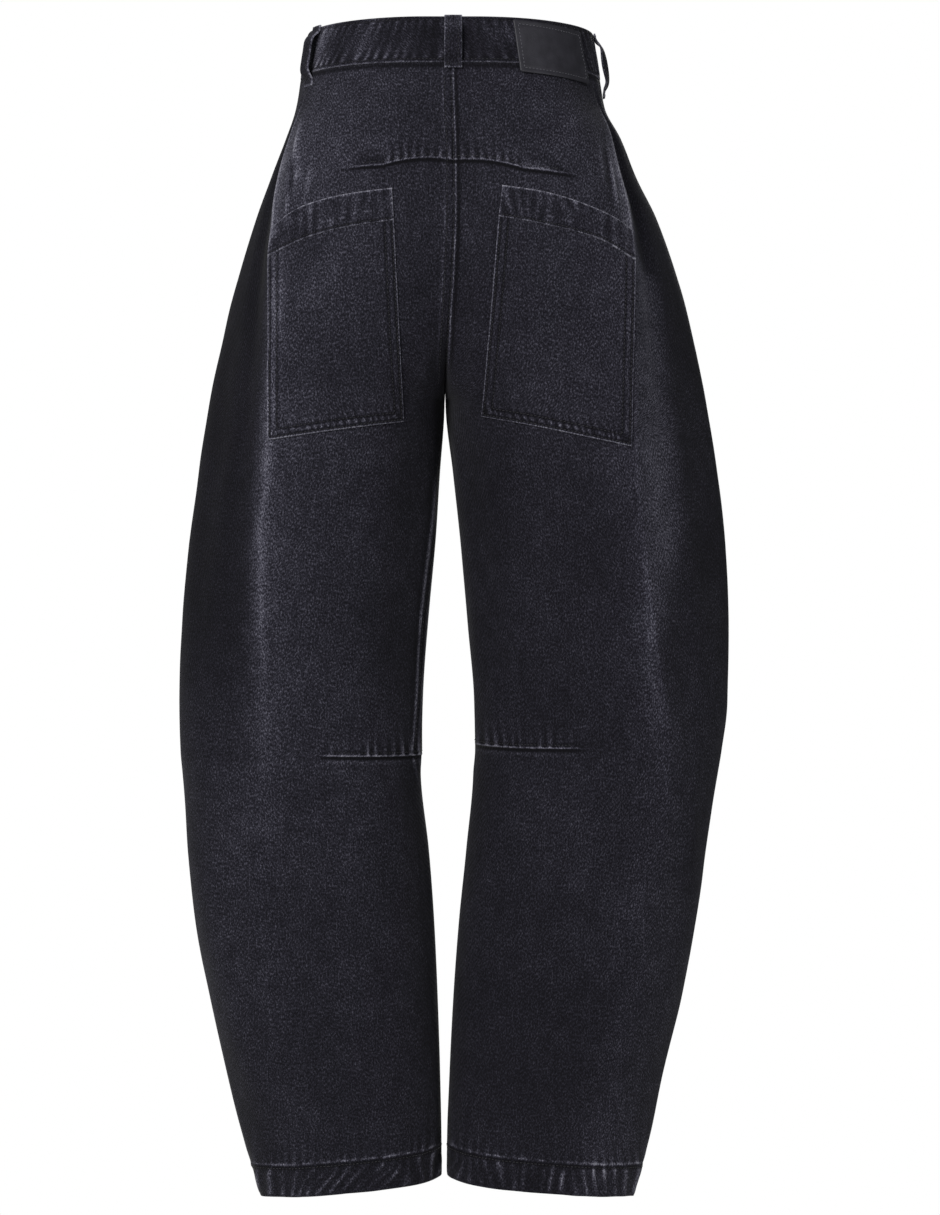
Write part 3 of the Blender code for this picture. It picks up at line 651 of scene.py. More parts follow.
def ridge_fold(z, s, side):
    """The long fold where the wide back turns to the outer wing: its crest and the valley outside it, and how
    pale the crest is, faded and partly a painted highlight, and how dark the wing is with painted shade."""
    heights = [row[0] for row in RIDGE_FOLD]
    column = 1 if side == LEFT else 2
    strong = np.interp(z, heights, [row[column] for row in RIDGE_FOLD])
    crest = 1.4 * strong * bump_at(s - 1.5, 0.022)
    valley = 6.0 * strong * bump_at(s - 1.6, 0.05)
    # High up the fold is a crisp pale line, partly a painted highlight. Below the pocket's top it is a broad
    # pale band, faded and partly a painted highlight, further out on the right.
    crisp = smooth_step((z + 235.0) / 50.0) * smooth_step((-55.0 - z) / 30.0)
    broad = 1.47 if side == LEFT else 1.42 + 0.14 * smooth_step((z + 560.0) / 140.0)
    place = broad * (1 - crisp) + 1.485 * crisp
    start = place + WING_START[side] * (1 - crisp) + 0.02 * crisp
    wing = smooth_step((s - start) / (0.09 - 0.05 * crisp))
    soft = smooth_step((-60.0 - z) / 60.0) * smooth_step((z + 700.0) / 250.0)
    pale = RIDGE_WEAR_AND_HIGHLIGHT[side] * (0.5 + 0.5 * strong) * soft * bump_at(s - place, 0.08)
    pale += 0.9 * crisp * bump_at(s - 1.496, 0.008)
    # Painted shade darkens the wing outside the fold and the valley just past its crest.
    shade = soft * (WING_SHADE[side] * wing + 0.35 * crisp * bump_at(s - 1.56, 0.04))
    return crest - valley, pale - shade


def grooves(distance, *rows):
    """The narrow grooves that stitched rows press into the cloth, at their distances from an edge."""
    return sum(bump_at(distance - row, GROOVE) for row in rows)


def felled(offset):
    """A felled seam's raised strip from offset 0 to its width, steepest at its folded edge, and its rows."""
    strip = smooth_step(offset / 1.2 + 0.5) * smooth_step((FELL_WIDTH - offset) / 2.0 + 0.5)
    return strip, strip * grooves(offset, EDGE_ROW, FELL_WIDTH - EDGE_ROW)


def outer_end(half):
    """The place of the outseam as each half counts it."""
    return OUTSEAM if half == BACK else 4 - OUTSEAM


def hem_height(s):
    """The height of the hem's lower edge along a section."""
    return HEM_BOTTOM[1] + (HEM_BOTTOM[0] - HEM_BOTTOM[1]) * (1 - np.minimum(s / OUTSEAM, 1.0))


def inseam_x(z):
    return np.interp(-z, [-p[1] for p in INSEAM_LINE], [p[0] for p in INSEAM_LINE])


def middle_seam(x, z, half):
    """The felled middle seam. Its strip lies on the left panel, and its last part on the right one."""
    on_seat = smooth_step((z - CROTCH - 8.0) / 45.0)
    offset = read_section(z)["middle"] + FELL_SHIFT - x
    strip, rows = felled(offset)
    if half == FRONT:
        return on_seat * (FELL_RISE * 0.6 * strip - 0.3 * rows), on_seat * 0.9 * bump_at(offset - 0.5, 0.9)
    # A pale folded edge. The stitched grooves and a narrow band just past the folded edge are painted darker
    # as shade.
    worn_and_shaded = bump_at(offset - 0.5, 0.8) - 0.2 * rows - 0.8 * bump_at(offset + 1.8, 1.4)
    worn_and_shaded += 0.35 * bump_at(offset - FELL_WIDTH + 0.5, 1.1)
    return on_seat * (FELL_RISE * strip - 0.35 * rows), on_seat * worn_and_shaded


def dart_relief(x, z, s, side, seed):
    """Both darts: the step of each, the puckers that stand on it, its pale edge, and the painted shade under
    it, in the puckers' troughs and in the knee dart's stitched groove.
    """
    height = dart_height(z, s, side)
    worn_and_shaded = np.zeros(np.shape(x))
    for (line, tip), seed_shift, rubbed_and_shaded in zip(DARTS, (7, 19), (1.3, 2.6)):
        above = z - dart_line(line, tip, side, s)
        fade = smooth_step((tip[side] - s) / 0.12)
        pucker = puckers(x, above, fade, seed + seed_shift)
        height += PUCKER_RISE * 2.0 * pucker
        worn_and_shaded += rubbed_and_shaded * np.maximum(pucker, -0.35)
        worn_and_shaded += fade * (0.95 * bump_at(above - 0.8, 0.8) - 1.6 * bump_at(above + 1.3, 1.2))
        if line is KNEE_DART:
            worn_and_shaded += fade * (0.45 * bump_at(above - 0.8, 0.8) + 0.35 * bump_at(above + 4.2, 1.2))
            worn_and_shaded -= fade * 0.45 * bump_at(above - 3.6, 1.1)
    return height, worn_and_shaded


def inseam_relief(x, z, s):
    """The wearer's left inseam, where it shows on the back: its strip and its pale edges, with its grooves
    and a narrow band beside its folded edge painted darker as shade.
    """
    offset = x - inseam_x(z) + INSEAM_SHIFT
    strip, rows = felled(offset)
    shown = smooth_step((-372.0 - z) / 40.0) * smooth_step((z + 665.0) / 30.0) * (s < 0.6)
    worn_and_shaded = 1.2 * bump_at(offset - 0.4, 0.9) - 0.3 * bump_at(offset + 1.8, 1.4)
    worn_and_shaded += 0.5 * bump_at(offset - 4.6, 0.9) - 0.5 * bump_at(offset - 2.6, 0.9)
    return shown * (FELL_RISE * 0.8 * strip - 0.3 * rows), shown * worn_and_shaded


def outseam_relief(s, half):
    """The outseam. Its allowance lies back under the panel beside it."""
    past = (s - outer_end(half)) * PLACE_SPAN
    return 0.5 * smooth_step((past + FELL_WIDTH) / 2.0), 0.35 * bump_at(past + 1.0, 2.0)


def hem_relief(x, z, s, side, seed):
    """The hem: a turned band with its roped twist, a row of pale dots on its edge and puckers above it."""
    up = z - hem_height(s)
    drift = 0.85 * patches(x / 29.0, up / 24.0, seed + 60)
    twist = np.sin(2 * math.pi * ((x + HEM_SLOPE[side] * up) / ROPE_PITCH / HEM_FINE[side] + drift))
    twist = twist * (0.55 + 0.45 * patches(x / 12.0, up / 13.0, seed + 61))
    narrow = np.maximum(twist, 0.0) ** 1.4
    band = smooth_step((HEM_DEPTH + 1.0 - up) / 2.5)
    inside = smooth_step(up / 4.0) * smooth_step((HEM_DEPTH + 1.0 - up) / 5.0)
    dots = 0.5 + 0.5 * patches(x / 3.5, up / 6.0, seed + 62)
    above = up - HEM_DEPTH
    pucker = puckers(x, above, np.where(above > 0, 1.0, 0.0), seed + 33)
    height = band * (0.5 + ROPE_RISE * 1.1 * twist * inside) + PUCKER_RISE * 0.8 * pucker
    # The roped crests are faded pale. The turned band is a little darker, and the stitched groove under its
    # top edge and the puckers' troughs are painted darker as shade.
    worn_and_shaded = band * (1.75 * narrow * inside - 0.2) + 0.35 * bump_at(up, 1.2)
    worn_and_shaded += 1.5 * dots * bump_at(above - 1.0, 1.1) - 1.0 * bump_at(above + 2.0, 1.3)
    worn_and_shaded += 0.8 * np.maximum(pucker, -0.3)
    return height, worn_and_shaded


def washed_and_shaded_places(z, s, side):
    """Where the back's broad parts are paler or darker: paler from the wash beside the outer folds and over
    the hips and shins, darker down the middle of each leg, and darkened with painted shade towards the
    inseams, in the middle of the seat and low on the legs.
    """
    worn_and_shaded = RUB[side] * bump_at(s - 1.38, 0.34) - INNER_SHADE * (1 - smooth_step(s / 0.95))
    worn_and_shaded += HIP_RUB[side] * bump_at(z + 95.0, 55.0) * bump_at(s - 1.32, 0.22)
    worn_and_shaded += SHIN_RUB[side] * bump_at(z + 760.0, 130.0) * bump_at(s - 1.6, 0.16)
    worn_and_shaded -= SEAT_SHADE * bump_at(z + 270.0, 90.0) * (1 - smooth_step((s - 0.7) / 0.6))
    worn_and_shaded -= LEG_SHADE[side] * smooth_step((-300.0 - z) / 120.0) * (1 - smooth_step((s - 1.05) / 0.4))
    worn_and_shaded -= LOW_SHADE[side] * smooth_step((-600.0 - z) / 380.0)
    return worn_and_shaded


def relief(x, z, s, side, half):
    """The cloth's whole relief off its plain form, and how its colour shifts: above 0 paler, below 0 darker,
    from fading and from painted shade and highlight.
    """
    seed = 10 + 3 * side + half
    height = fold_height(z, s, side, half)
    height += UNEVEN * patches(s * 4.5 + 9, z / 85.0, seed)
    height += UNEVEN * 0.4 * patches(s * 11.0 + 5, z / 34.0, seed + 40)
    # The waistband stands proud of the cloth under it and shades it
    worn_and_shaded = 0.1 * patches(s * 30.0, z / 9.0, seed + 80) - 1.1 * bump_at(z + BAND_HEIGHT + 2.0, 1.6)
    forms = [crease_height(x, z, side, half), middle_seam(x, z, half)]
    if half == BACK:
        forms.append(dart_relief(x, z, s, side, seed))
        forms.append(ridge_fold(z, s, side))
        worn_and_shaded += washed_and_shaded_places(z, s, side)
        if side == LEFT:
            forms.append(inseam_relief(x, z, s))
    else:
        worn_and_shaded += 0.14 * bump_at(s - 0.95, 0.4) * smooth_step((-90.0 - z) / 90.0)
    forms.append(outseam_relief(s, half))
    forms.append(hem_relief(x, z, s, side, seed))
    for form_height, form_worn in forms:
        height += form_height
        worn_and_shaded += form_worn
    # Where two panels meet edge to edge, both keep the plain form
    held = 1 - bump_at(s, 0.07) * smooth_step((CROTCH + 70.0 - z) / 60.0)
    held = held * (1 - bump_at(s - outer_end(half), 0.05))
    return height * held, worn_and_shaded


def cloth(z, s, side, half, lift=0.0):
    """Points of the dressed cloth's outer face, lifted off it, with its plain normals and its colour's shift
    from fading and from painted shade and highlight.
    """
    z, s = np.broadcast_arrays(np.asarray(z, float), np.asarray(s, float))
    base = plain_surface(z, s, side, half)
    normals = unit_normals(lambda rows, at: plain_surface(rows, at, side, half), z, s, side, half)
    height, worn_and_shaded = relief(base[..., 0], z, s, side, half)
    points = base + normals * (height + lift)[..., None]
    points[..., 0] += side * SEAM_GAP / 2
    points[..., 1] += half * SEAM_GAP / 2
    return points, normals, worn_and_shaded


def place_of(x, z, side, half):
    """The place along a section whose plain point has a given x."""
    x, z = np.broadcast_arrays(np.asarray(x, float), np.asarray(z, float))
    low, high = np.zeros(x.shape), np.full(x.shape, 2.0)
    for _ in range(24):
        mid = (low + high) / 2
        short = side * half_ring(z, mid, side, half)[0] < side * x
        low, high = np.where(short, mid, low), np.where(short, high, mid)
    return (low + high) / 2


def grid_quads(rows, columns, start=0):
    """A grid's faces as point numbers, counted from start."""
    row = np.arange(rows - 1)[:, None] * columns
    a = (row + np.arange(columns - 1)[None, :]).reshape(-1) + start
    return np.stack([a, a + 1, a + columns + 1, a + columns], axis=1)


def rim_of(rows, columns):
    """A grid's border as point numbers, once round."""
    top = [i for i in range(columns)]
    right = [j * columns + columns - 1 for j in range(1, rows)]
    low = [(rows - 1) * columns + i for i in range(columns - 2, -1, -1)]
    left = [j * columns for j in range(rows - 2, 0, -1)]
    return np.array(top + right + low + left)


def make_sheet(name, outer, inner, worn_and_shaded, material, round_rim):
    """A closed thin sheet from its outer and inner faces, as grids of points, with even cloth coordinates.
    The rim bulges by round_rim, as a folded edge does."""
    rows, columns = outer.shape[:2]
    count = rows * columns
    across = run_along(outer, 1) + UV_SHIFT
    down = run_along(outer, 0)
    flat = np.stack([across, down], axis=-1).reshape(-1, 2) * MM
    outer, inner, worn_and_shaded = outer.reshape(-1, 3), inner.reshape(-1, 3), worn_and_shaded.reshape(-1)
    rim = rim_of(rows, columns)
    away = outer[rim] - outer[rim_inward(rows, columns)]
    long = np.linalg.norm(away, axis=-1, keepdims=True)
    middle = (outer[rim] + inner[rim]) / 2 + away / np.maximum(long, 1e-6) * round_rim
    points = np.concatenate([outer, inner, middle])
    faces = [grid_quads(rows, columns), grid_quads(rows, columns, count)[:, ::-1]]
    following = np.roll(rim, -1)
    ring = np.arange(len(rim)) + 2 * count
    ring_next = np.roll(ring, -1)
    faces.append(np.stack([following, rim, ring, ring_next], axis=1))
    faces.append(np.stack([ring_next, ring, rim + count, following + count], axis=1))
    mesh = bpy.data.meshes.new(name)
    mesh.from_pydata((points * MM).tolist(), [], np.concatenate(faces).tolist())
    layer = mesh.uv_layers.new(name="cloth")
    every = np.concatenate([flat, flat, flat[rim]])
    corners = np.zeros(len(mesh.loops), int)
    mesh.loops.foreach_get("vertex_index", corners)
    layer.data.foreach_set("uv", every[corners].astype(np.float32).reshape(-1))
    wear_and_shade = mesh.attributes.new("wear_and_shade", "FLOAT", "POINT")
    spread = np.concatenate([worn_and_shaded, worn_and_shaded, worn_and_shaded[rim] + RIM_WORN])
    wear_and_shade.data.foreach_set("value", spread.astype(np.float32))
    return finish_piece(name, mesh, material)


def rim_inward(rows, columns):
    """For each border point, the number of the point one step in from it."""
    numbers = np.arange(rows * columns).reshape(rows, columns)
    inward_row = np.clip(np.arange(rows), 1, rows - 2)
    inward_column = np.clip(np.arange(columns), 1, columns - 2)
    return numbers[inward_row][:, inward_column].reshape(-1)[rim_of(rows, columns)]


def finish_piece(name, mesh, material):
    """An object of the mesh, with its faces turned out and shaded smooth."""
    work = bmesh.new()
    work.from_mesh(mesh)
    bmesh.ops.recalc_face_normals(work, faces=work.faces[:])
    work.to_mesh(mesh)
    work.free()
    mesh.shade_smooth()
    mesh.materials.append(material)
    piece = bpy.data.objects.new(name, mesh)
    bpy.context.scene.collection.objects.link(piece)
    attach(piece, "root")
    return piece


def fine_rows(side, half):
    """Heights of a panel's fine rows at its inner and outer edges, closest beside the darts and the hem."""
    yoke, knee = YOKE_DART[side], KNEE_DART[side]
    hem_top = (HEM_BOTTOM[0] + HEM_DEPTH, HEM_BOTTOM[1] + HEM_DEPTH)

    def mark(row, above, part):
        return row[0] + above, row[1] + above, ROW_CELLS[half][part]

    marks = [
        mark((PANEL_TOP, PANEL_TOP), 0.0, "yoke"),
        mark(yoke, NEAR_DART, "near"),
        mark(yoke, DART_RUN / 2, "step"),
        mark(yoke, -DART_RUN / 2, "under"),
        mark(yoke, -BELOW_DART, "seat"),
        mark((CROTCH, CROTCH_OUTER), 0.0, "thigh"),
        mark(knee, NEAR_DART, "near"),
        mark(knee, DART_RUN / 2, "step"),
        mark(knee, -DART_RUN / 2, "under"),
        mark(knee, -BELOW_DART, "shin"),
        mark(hem_top, NEAR_DART, "near"),
        mark(hem_top, HEM_RUN / 2, "step"),
        mark(hem_top, -HEM_RUN / 2, "hem"),
        mark(HEM_BOTTOM, 0.0, "hem"),
    ]
    inner, outer = [marks[0][0]], [marks[0][1]]
    for (z_in, z_out, cells), (next_in, next_out, _) in zip(marks, marks[1:]):
        inner.extend(seam_rows(z_in, next_in, cells, side, half)[1:])
        outer.extend(np.linspace(z_out, next_out, cells + 1)[1:])
    return np.array(inner), np.array(outer)


def fine_columns(end, cells, crowd):
    """Places along a section, closer together near the middle seam."""
    s = np.linspace(0.0, end, 600)
    weight = np.cumsum(1.0 + crowd * np.exp(-s / 0.18) + 3.6 * bump_at(s - 1.46, 0.09))
    weight = (weight - weight[0]) / (weight[-1] - weight[0])
    return np.interp(np.linspace(0.0, 1.0, cells + 1), weight, s)


def make_panel(side, half, material):
    """One leg panel, from the middle seam and the inseam round to the outseam."""
    end = outer_end(half)
    columns = fine_columns(end, PANEL_CELLS[half], SEAM_CROWD[half])
    inner_z, outer_z = fine_rows(side, half)
    z = outer_z[:, None] + (inner_z - outer_z)[:, None] * (1 - columns / end)[None, :]
    s = np.broadcast_to(columns, z.shape)
    if half == BACK:
        # The rows beside a dart follow its bow
        for line, tip in DARTS:
            straight = line[side][0] + (line[side][1] - line[side][0]) * s / OUTSEAM
            bow = dart_line(line, tip, side, s) - straight
            z = z + bow * bump_at(z - straight, BOW_REACH)
    outer, normals, worn_and_shaded = cloth(z, s, side, half)
    above_hem = smooth_step((z - HEM_BOTTOM[1]) / HEM_DEPTH) > 0.99
    thick = HEM_CLOTH + (CLOTH - HEM_CLOTH) * above_hem
    inner = outer - normals * thick[..., None]
    name = ("back_" if half == BACK else "front_") + SIDE_NAMES[side]
    panel = make_sheet(name + "_cloth", outer, inner, worn_and_shaded, material, 0.3)
    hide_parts(name)


def edge_steps(length, cells, edge=(0.0, 0.35, 0.9, 1.7, 2.6)):
    """Shares of a length with close steps at both ends, for a rounded edge."""
    near = np.array(edge) / length
    between = np.linspace(near[-1], 1 - near[-1], cells + 1)[1:-1]
    return np.concatenate([near, between, 1 - near[::-1]])


def rounded(distance, high, run=1.7):
    """How high a cloth edge's face stands at a distance in from its rim."""
    return high * (0.35 + 0.65 * np.sqrt(np.clip(1 - (1 - np.clip(distance / run, 0, 1)) ** 2, 0, 1)))


def corner_grid(top, low, across, down):
    """A grid of (x, z) between a top and a lower line of points, each from its inner to its outer end."""
    lines = []
    for line in (top, low):
        points = np.array(line, float)
        run = run_along(points)
        run = run / run[-1]
        smooth_x = smooth_column(run, points[:, 0], across)
        smooth_z = smooth_column(run, points[:, 1], across)
        lines.append(np.stack([smooth_x, smooth_z], axis=-1))
    return lines[0][None] * (1 - down)[:, None, None] + lines[1][None] * down[:, None, None]


def lay_piece(name, side, half, flat, height, worn_and_shaded, material):
    """A sheet that lies on the cloth, from a grid of (x, z) and how high its face stands there."""
    x, z = flat[..., 0], flat[..., 1]
    points, normals, below = cloth(z, place_of(x, z, side, half), side, half)
    outer = points + normals * (LAY_GAP + height)[..., None]
    inner = points + normals * LAY_GAP
    # The piece takes on most of the colour shift of the cloth under it, painted shade included.
    return make_sheet(name, outer, inner, worn_and_shaded + 0.75 * below, material, LAID_RIM)


def grid_distances(flat, shares, across):
    """How far each point of an (x, z) grid lies from the inner, outer, top and lower edges."""
    wide = np.linalg.norm(flat[:, -1] - flat[:, 0], axis=-1)[:, None]
    tall = np.linalg.norm(flat[-1] - flat[0], axis=-1)[None, :]
    inner, outer = across[None, :] * wide, (1 - across)[None, :] * wide
    top, low = shares[:, None] * tall, (1 - shares)[:, None] * tall
    return inner, outer, top, low


def make_pocket(side, material):
    """The patch pocket's body, with turned edges, stitched rows and puckers along its lower row."""
    name = SIDE_NAMES[side]
    across = edge_steps(POCKET_WIDE, 78)
    down = edge_steps(POCKET_TALL, 84)
    flat = corner_grid(POCKET_SEAM[side], POCKET_BOTTOM[side], across, down)
    inner, outer, top, bottom = grid_distances(flat, down, across)
    rim = np.minimum(np.minimum(inner, outer), bottom)
    turned = smooth_step((TURN_WIDTH - rim) / 2.0 + 0.5)
    rows = grooves(rim, EDGE_ROW, SECOND_ROW)
    x, z = flat[..., 0], flat[..., 1]
    waver = (x + 0.3 * z) / POCKET_PITCH + 0.6 * patches(x / 12.0, z / 30.0, 71 + side)
    tufts = np.sin(2 * math.pi * waver) * (0.55 + 0.45 * patches(x / 8.0, z / 40.0, 73 + side))
    near = bump_at(bottom - 5.4, 2.2) + 0.35 * bump_at(bottom - 12.5, 4.0)
    pucker = tufts * near * smooth_step(rim / 3.0)
    height = rounded(np.minimum(rim, top), POCKET_CLOTH) + 0.45 * turned - 0.4 * rows + 0.45 * pucker
    height += 0.5 * patches(x / 38.0, z / 55.0, 81 + side) * smooth_step(rim / 20.0)
    # Pale faded edges and pucker crests. The stitched grooves and the puckers' troughs are painted darker as
    # shade.
    worn_and_shaded = 1.1 * bump_at(rim - 0.3, 1.0) * (1 - 0.5 * bump_at(outer, 2.5)) - 1.0 * rows + 0.06 * turned
    worn_and_shaded += 1.3 * np.maximum(pucker, -0.4)
    worn_and_shaded += POCKET_RUB[side] * bump_at(outer - 9.0, 8.0) * bump_at(z + 245.0, 50.0)
    height = np.maximum(height, POCKET_LEAST)
    body = lay_piece("pocket_%s_cloth" % name, side, BACK, flat, height, worn_and_shaded, material)
    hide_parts("pocket_" + name)


def make_pocket_band(side, material):
    """The folded band along the pocket's top, with short cross creases and pale edges."""
    name = SIDE_NAMES[side]
    across = edge_steps(POCKET_BAND_WIDE, 78)
    down = edge_steps(POCKET_BAND_TALL, 16)
    flat = corner_grid(POCKET_TOP[side], POCKET_SEAM[side], across, down)
    inner, outer, top, bottom = grid_distances(flat, down, across)
    rim = np.minimum(np.minimum(inner, outer), np.minimum(top, bottom))
    x, z = flat[..., 0], flat[..., 1]
    twist = np.sin(2 * math.pi * (x / 9.5 + 0.9 * patches(x / 26.0, z / 30.0, 91 + side)))
    twist = twist * (0.5 + 0.5 * patches(x / 17.0, z / 9.0, 93 + side))
    height = rounded(rim, POCKET_BAND_CLOTH) + 0.3 * twist * smooth_step(rim / 4.0)
    height -= 0.3 * grooves(bottom, EDGE_ROW)
    # Paler crease crests and edges. The crease troughs and the stitched groove are painted darker as shade.
    worn_and_shaded = 0.42 * np.maximum(twist, -0.5) - 0.7 * bump_at(bottom - EDGE_ROW, 0.8)
    worn_and_shaded += 0.22 * patches(x / 7.0, z / 8.0, 95 + side) - 0.04
    for distance, pale in ((top, 1.3), (bottom, 0.8), (inner, 0.95), (outer, 0.8)):
        worn_and_shaded += pale * bump_at(distance - 0.3, 1.0)
    band = lay_piece("pocket_band_%s_cloth" % name, side, BACK, flat, height, worn_and_shaded, material)
    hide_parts("pocket_band_" + name)


def fly_turn(z):
    """How far the fly's edge has turned in at a height, round its lower corner."""
    return 1 - np.sqrt(1 - np.clip((FLY_BOTTOM + FLY_ROUND - z) / FLY_ROUND, 0, 0.985) ** 2)


def make_fly(material):
    """The fly's lapped cloth, from its curved edge in to the middle seam."""
    down = edge_steps(FLY_TALL, 90)
    across = edge_steps(FLY_ACROSS, 22)
    z = PANEL_TOP + FLY_UNDER + (FLY_BOTTOM - PANEL_TOP - FLY_UNDER) * down
    edge = -FLY_WIDTH + FLY_ROUND * fly_turn(z)
    middle = read_section(z)["middle"] - SEAM_GAP
    x = edge[:, None] + (middle - edge)[:, None] * across[None, :]
    flat = np.stack([x, np.broadcast_to(z[:, None], x.shape)], axis=-1)
    outer, inner, _, bottom = grid_distances(flat, down, across)
    rim = np.minimum(np.minimum(inner, outer), bottom)
    rows = grooves(np.minimum(outer, bottom), EDGE_ROW, SECOND_ROW)
    height = np.maximum(rounded(rim, FLY_CLOTH) - 0.35 * rows, FLY_LEAST)
    # Pale rims. The stitched grooves are painted a little darker as shade.
    worn_and_shaded = 0.5 * bump_at(rim, 1.5) - 0.1 * rows + 0.1 * patches(x / 12.0, z[:, None] / 20.0, 5)
    fly = lay_piece("fly_cloth", LEFT, FRONT, flat, height, worn_and_shaded, material)
    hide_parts("fly")


def band_relief(length, z):
    """The waistband's relief and colour shift, from fading and painted shade, at a length round it and a
    height.
    """
    down = -z
    up = BAND_HEIGHT + z
    wave = 2 * math.pi * (length + 0.25 * z) / 15.0
    twist = 0.5 * np.sin(wave + 2.0 * patches(length / 30.0, z / 60.0, 33))
    twist = twist + 0.7 * patches(length / 11.0, z / 26.0, 31)
    inside_rows = smooth_step((down - 3.0) / 4.0) * smooth_step((up - 3.0) / 4.0)
    rows = grooves(down, BAND_ROW) + grooves(up, BAND_ROW)
    # Short puckers stand on the lower row and hang from the upper one
    waver = length / 9.0 + 0.5 * patches(length / 24.0, z / 200.0, 39)
    short = np.sin(2 * math.pi * waver) * (0.68 + 0.32 * patches(length / 13.0, z / 30.0, 41))
    near = smooth_step((up - 2.0) / 2.0) * np.exp(-np.maximum(up - 3.0, 0.0) / 6.0)
    near = near + 0.7 * smooth_step((down - 2.0) / 2.0) * np.exp(-np.maximum(down - 3.0, 0.0) / 6.0)
    height = 0.5 * twist * inside_rows + 0.7 * short * near - 0.35 * rows
    height = height + 0.3 * patches(length / 40.0, z / 60.0, 35)
    # Paler near the left loop. A painted shadow of the centre back loop darkens the band round centre back,
    # and the stitched grooves and the puckers' troughs are painted darker as shade.
    worn_and_shaded = 0.1 * twist * inside_rows + 1.6 * np.maximum(short, -0.3) * near + 0.15 * bump_at(down, 1.2)
    worn_and_shaded += 0.6 * bump_at(length + 130.0, 17.0) - 0.2 * bump_at(length, 26.0)
    worn_and_shaded += 1.2 * bump_at(up, 1.0) + 0.3 * patches(length / 19.0, z / 15.0, 37) - 0.5 * rows - 0.06
    return height, worn_and_shaded


def band_point(length, z, lift=0.0, detailed=True):
    """A point on the waistband's outer face with its level normal and its colour shift from fading and
    painted shade.
    """
    point, normal, _ = ring_frame(z, place_at(length))
    normal = level(normal)
    under = smooth_step((length - (waist_length() / 2 - OVERLAP - 3.0 - LAP_RUN)) / LAP_RUN)
    height, worn_and_shaded = band_relief(length, z)
    off = BAND_PROUD + lift - LAP_STEP * under + (height if detailed else 0.0)
    return point + normal * off[..., None], normal, worn_and_shaded


def make_waistband(material):
    """One shaped strip round the waist, with rounded edges and its ends lapped at centre front."""
    half_way = waist_length() / 2
    length = np.linspace(half_way + UNDERLAP, -half_way - OVERLAP, BAND_FINE_CELLS + 1)
    z = -BAND_HEIGHT * edge_steps(BAND_HEIGHT, 18)
    length, z = np.broadcast_arrays(length[None, :], z[:, None])
    outer, normal, worn_and_shaded = band_point(length, z)
    from_rim = 1 - np.clip(np.minimum(-z, BAND_HEIGHT + z) / BAND_ROUND, 0, 1)
    drop = BAND_THICK / 2 * (1 - np.sqrt(1 - from_rim ** 2)) * 0.7
    outer = outer - normal * drop[..., None]
    inner = band_point(length, z, -BAND_THICK, False)[0]
    band = make_sheet("waistband_cloth", outer, inner, worn_and_shaded, material, 0.35)
    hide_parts("waistband")


def patch_point(across, down, lift):
    """A point of the patch's face, which follows the waistband and hangs on past its lower edge."""
    across, down = across / PATCH_LENGTH, down / PATCH_HEIGHT
    inner = PATCH_INNER[0] + (PATCH_INNER[1] - PATCH_INNER[0]) * down
    outer = PATCH_OUTER[0] + (PATCH_OUTER[1] - PATCH_OUTER[0]) * down
    place = inner + (outer - inner) * across
    z = PATCH_TOP - PATCH_HEIGHT * down - PATCH_DROP * across
    held = np.maximum(z, -BAND_HEIGHT)
    point, normal, _ = ring_frame(held, place)
    normal = level(normal)
    slope = ring_surface(-BAND_HEIGHT + 10.0, place) - ring_surface(-BAND_HEIGHT, place)
    point = point + slope * ((z - held) / 10.0)[..., None]
    return point + normal * (BAND_PROUD + PATCH_GAP + lift)[..., None], normal


def patch_corners(u, v):
    """Draws the patch's corners in to a small round, and gives how far in from the rim each point lies."""
    half_u, half_v = PATCH_LENGTH / 2, PATCH_HEIGHT / 2
    from_u, from_v = np.abs(u - half_u), np.abs(v - half_v)
    past_u, past_v = from_u - half_u + PATCH_ROUND, from_v - half_v + PATCH_ROUND
    past = np.hypot(np.maximum(past_u, 0), np.maximum(past_v, 0))
    pull = np.minimum(1.0, PATCH_ROUND / np.maximum(past, 1e-6))
    near = (past_u > 0) & (past_v > 0)
    from_u = np.where(near, half_u - PATCH_ROUND + past_u * pull, from_u)
    from_v = np.where(near, half_v - PATCH_ROUND + past_v * pull, from_v)
    rim = np.minimum(half_u - from_u, half_v - from_v)
    return half_u + np.sign(u - half_u) * from_u, half_v + np.sign(v - half_v) * from_v, rim


def make_patch(material):
    """The plain leather patch with rounded corners and a pressed edge row."""
    across = edge_steps(PATCH_LENGTH, 60)
    down = edge_steps(PATCH_HEIGHT, 40)
    u, v, rim = patch_corners(*np.meshgrid(across * PATCH_LENGTH, down * PATCH_HEIGHT))
    height = rounded(rim, PATCH_THICK, 0.9) - 0.25 * bump_at(rim - PATCH_ROW, 0.8)
    height += 0.12 * patches(u / 9.0, v / 8.0, 61)
    outer = patch_point(u, v, height)[0]
    inner = patch_point(u, v, np.zeros(u.shape))[0]
    patch = make_sheet("patch_leather_sheet", outer, inner, 0.5 * bump_at(rim, 1.2), material, 0.15)
    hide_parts("patch")


def smoothed(path, cells):
    """A path of (off, z) points drawn through its corners as an even, soft line."""
    run = run_along(path)
    even = np.linspace(0, run[-1], cells + 1)
    line = np.stack([np.interp(even, run, path[:, i]) for i in (0, 1)], axis=-1)
    for _ in range(LOOP_SOFTEN):
        line[1:-1] = (line[:-2] + 2 * line[1:-1] + line[2:]) / 4
    return line


def loop_frame(share):
    """Where a loop sits on the waistband: its middle, the way out, the way across and the way up."""
    origin, out, tangent = ring_frame(-BAND_HEIGHT / 2, place_at(share * waist_length()))
    up = np.cross(tangent, out)
    up = up * np.sign(up[2])
    return origin, out, tangent, up


